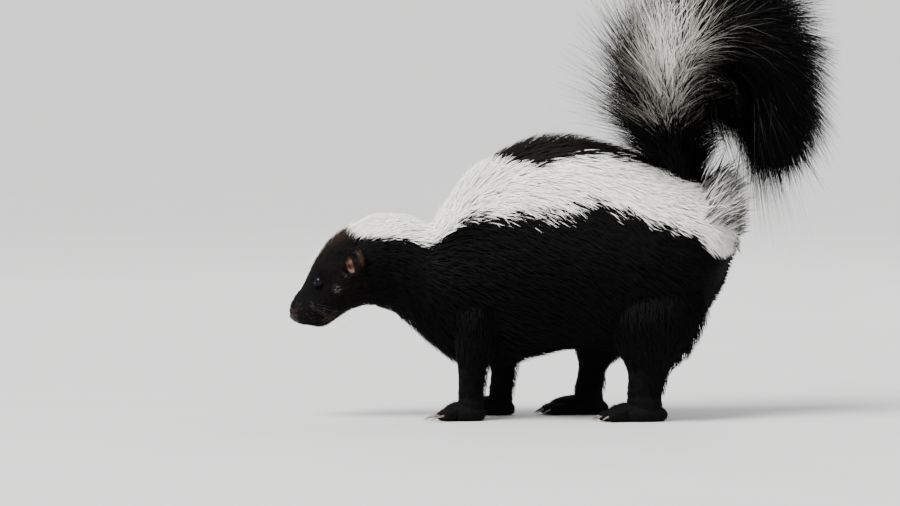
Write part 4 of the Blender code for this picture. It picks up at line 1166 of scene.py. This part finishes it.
# whiskers and claws, by one tree that gives lines a tapered body
def rodTree(name):
    tree = bpy.data.node_groups.new(name, "GeometryNodeTree")
    tree.interface.new_socket("Geometry", in_out="INPUT", socket_type="NodeSocketGeometry")
    keys = [tree.interface.new_socket(label, in_out="INPUT", socket_type="NodeSocket" + kind).identifier
            for label, kind in (("Thickness", "Float"), ("Sides", "Int"), ("Finish", "Material"))]
    tree.interface.new_socket("Geometry", in_out="OUTPUT", socket_type="NodeSocketGeometry")
    link = tree.links.new
    start, end = addNode(tree, "NodeGroupInput"), addNode(tree, "NodeGroupOutput")
    curve = addNode(tree, "GeometryNodeMeshToCurve")
    radius = addNode(tree, "GeometryNodeSetCurveRadius")
    taper = addNode(tree, "GeometryNodeInputNamedAttribute", Name="taper")
    times = addNode(tree, "ShaderNodeMath", operation="MULTIPLY")
    circle = addNode(tree, "GeometryNodeCurvePrimitiveCircle", Radius=1.0)
    size = addNode(tree, "GeometryNodeInputRadius")
    body = tree.nodes.new("GeometryNodeCurveToMesh")
    body.inputs["Fill Caps"].default_value = True
    real = addNode(tree, "GeometryNodeRealizeInstances")
    paint = addNode(tree, "GeometryNodeSetMaterial")
    link(start.outputs["Geometry"], curve.inputs[0])
    link(taper.outputs["Attribute"], times.inputs[0])
    link(start.outputs["Thickness"], times.inputs[1])
    link(curve.outputs[0], radius.inputs[0])
    link(times.outputs[0], radius.inputs["Radius"])
    link(start.outputs["Sides"], circle.inputs["Resolution"])
    link(radius.outputs[0], body.inputs["Curve"])
    link(circle.outputs[0], body.inputs["Profile Curve"])
    link(size.outputs[0], body.inputs["Scale"])
    link(body.outputs[0], real.inputs[0])
    link(real.outputs[0], paint.inputs["Geometry"])
    link(start.outputs["Finish"], paint.inputs["Material"])
    link(paint.outputs[0], end.inputs[0])
    return tree, keys


def rods(name, lines, shares, form, material, slotName):
    tree, keys = rodTree(name + " tree")
    taper = (1 - shares) ** form["taperPower"] * (1 - form["tip"]) + form["tip"]
    edges, start = [], 0
    for line in lines:
        edges += [(start + k, start + k + 1) for k in range(len(line) - 1)]
        start += len(line)
    mesh = bpy.data.meshes.new(name)
    mesh.from_pydata([tuple(p) for p in np.concatenate(lines)], edges, [])
    attribute = mesh.attributes.new("taper", "FLOAT", "POINT")
    attribute.data.foreach_set("value", np.tile(taper, len(lines)).astype(np.float32))
    piece = bpy.data.objects.new(name, mesh)
    bpy.context.scene.collection.objects.link(piece)
    change = piece.modifiers.new("rods", "NODES")
    change.node_group = tree
    for key, value in zip(keys, (form["thickness"], form["sides"], material)):
        change[key] = value
    graph = bpy.context.evaluated_depsgraph_get()
    made = bpy.data.meshes.new_from_object(piece.evaluated_get(graph))
    piece.modifiers.remove(change)
    piece.data = made
    print(name, len(made.polygons), "faces")
    place(pointOut(piece), slotName)


clawForm = {
    "from": .90,  # where it leaves the toe, as a share of the toe's length
    "hidden": .0015,  # its length inside the toe
    "height": .00437, "drop": .00368, "lowest": .0006,  # of its line above the floor
    "thickness": .00115, "sides": 10, "tip": .06, "taperPower": .75,
}


def buildClaws():
    form = clawForm
    shares = np.linspace(0, 1, 9)
    lines = []
    for root, along, toeLength, clawLength in toeList:
        reach = toeLength * form["from"] + shares * (clawLength + form["hidden"])
        line = root + along * reach[:, None]
        line[:, 2] = np.maximum(form["height"] - form["drop"] * shares**2, form["lowest"])
        lines.append(line)
    rods("claws", lines, shares, form, clawMaterial, "black_coat")


whiskerForm = {
    "perSide": 13, "seed": 91,
    "x": -.1625, "z": .0878, "spreadX": .0075, "spreadZ": .0042,  # where they stand on the snout
    "longest": .034, "bend": (.45, 0, -.30),
    "thickness": .00010, "sides": 5, "tip": .08, "taperPower": .7,
}


def buildWhiskers():
    form = whiskerForm
    draw = np.random.default_rng(form["seed"])
    shares = np.linspace(0, 1, 12)
    lines = []
    for sign in (-1, 1):
        for _ in range(form["perSide"]):
            x = form["x"] + form["spreadX"] * draw.uniform(-1, 1)
            z = form["z"] + form["spreadZ"] * draw.uniform(-1, 1)
            hit, normal, _, _ = skinTree.find_nearest(Vector((x, sign * .03, z)))
            lie = unit(np.array((.35 + .3 * draw.random(), sign * 1.0, draw.uniform(-.35, .25))))
            run = (shares * form["longest"] * draw.uniform(.5, 1.0))[:, None]
            bend = np.array(form["bend"]) * run * shares[:, None]
            lines.append(np.array(hit) - np.array(normal) * .0008 + lie * run + bend)
    rods("whiskers", lines, shares, form, whiskerMaterial, "black_coat")


for sideName, sign in (("left", -1), ("right", 1)):
    buildEye(sideName, sign)
    buildEar(sideName, sign)
    growTufts("earCoat_" + sideName, earTufts(sign), 2, "black_coat")
buildNose()
buildClaws()
buildWhiskers()
print("head pieces and claws done")

growTufts("noseCoat", noseTufts(), 2, "black_coat")
growTufts("headCoat", trunkTufts(trunkCoat["headCount"], (2.3, 9.3), trunkCoat["seed"]), 2, "black_coat")
bodyTufts = trunkTufts(trunkCoat["bodyCount"], (9.3, 22.0), trunkCoat["seed"] + 1)
growTufts("bodyCoat", aboveSkin(bodyTufts), 3, "black_coat")
for number, legName in enumerate(legRows):
    growTufts("coat_" + legName, aboveSkin(legTufts(legName, legHair["seed"] + number)), 2, "black_coat")
growTufts("pawCoat", pawTufts(), 2, "black_coat")
growTufts("tailCoat", fitted(tailTufts()), 3, "tail_coat")
growTufts("rumpFringe", fitted(fringeTufts()), 3, "white_coat")

place(skin, "black_coat")
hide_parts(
    "head", "neck", "torso", "nape_patch", "stripe_left", "stripe_right",
    "leg_front_left", "leg_front_right", "leg_hind_left", "leg_hind_right",
    "paw_front_left", "paw_front_right", "paw_hind_left", "paw_hind_right",
    "tail_base", "tail_middle", "tail_tip",
)

# camera, floor and light
stageSizes = {
    "lens": 250.0,  # mm, on a sensor 36 mm wide
    "viewWidth": .720,  # metres across the frame at the animal
    "aim": (-.0496, 0.0, .132),  # what the middle of the frame shows
    "elevation": 2.6,  # degrees above the floor's level
    "floorHalf": 150.0, "floorDark": (.50, .495, .48), "floorPale": (.55, .545, .53),
    "sun": 5.2, "sunSpread": 30.0, "sunWay": (.35, .42, -1.0),
    "lamps": (("keyLight", (-1.3, -1.9, 2.2), 1.2, 78), ("backLight", (.6, 2.2, 2.0), 1.4, 35)),
    "lampsAim": (0, 0, .12),
    "sky": (.80, .82, .85, 1), "skyStrength": 1.15,
}


def addPointed(name, data, spot, way):  # a camera or a lamp that looks along a way
    made = bpy.data.objects.new(name, data)
    made.location = spot
    made.rotation_euler = way.to_track_quat("-Z", "Y").to_euler()
    bpy.context.scene.collection.objects.link(made)
    return made


def buildStage():
    sizes = stageSizes
    away = sizes["viewWidth"] * sizes["lens"] / 36.0
    rise = math.radians(sizes["elevation"])
    lens = bpy.data.cameras.new("camera")
    lens.lens = sizes["lens"]
    lens.clip_end = 500.0
    lens.dof.use_dof = False
    back = Vector((0, -away * math.cos(rise), away * math.sin(rise)))
    aim = Vector(sizes["aim"]) + Vector((shiftX, 0, 0))
    bpy.context.scene.camera = addPointed("camera", lens, aim + back, -back)

    corners = np.array(((-1, -1, 0), (1, -1, 0), (1, 1, 0), (-1, 1, 0)), float) * sizes["floorHalf"]
    floor = makeMesh("floor", corners, np.array(((0, 1, 2), (0, 2, 3))))
    made, tree, shader = newMaterial("pale floor", .85, .2)
    addRamp(tree, shader, addNoise(tree, 6.0, 4.0), (sizes["floorDark"], sizes["floorPale"]), (0.0, 1.0))
    floor.data.materials.append(made)

    sky = bpy.data.lights.new("skyLight", "SUN")
    sky.energy, sky.angle = sizes["sun"], math.radians(sizes["sunSpread"])
    addPointed("skyLight", sky, (0, 0, 0), Vector(sizes["sunWay"]))
    for name, spot, size, power in sizes["lamps"]:
        light = bpy.data.lights.new(name, "AREA")
        light.size, light.energy = size, power
        addPointed(name, light, spot, Vector(sizes["lampsAim"]) - Vector(spot))
    world = bpy.data.worlds.new("studio")
    world.use_nodes = True
    background = world.node_tree.nodes["Background"]
    background.inputs["Color"].default_value = sizes["sky"]
    background.inputs["Strength"].default_value = sizes["skyStrength"]
    bpy.context.scene.world = world


buildStage()
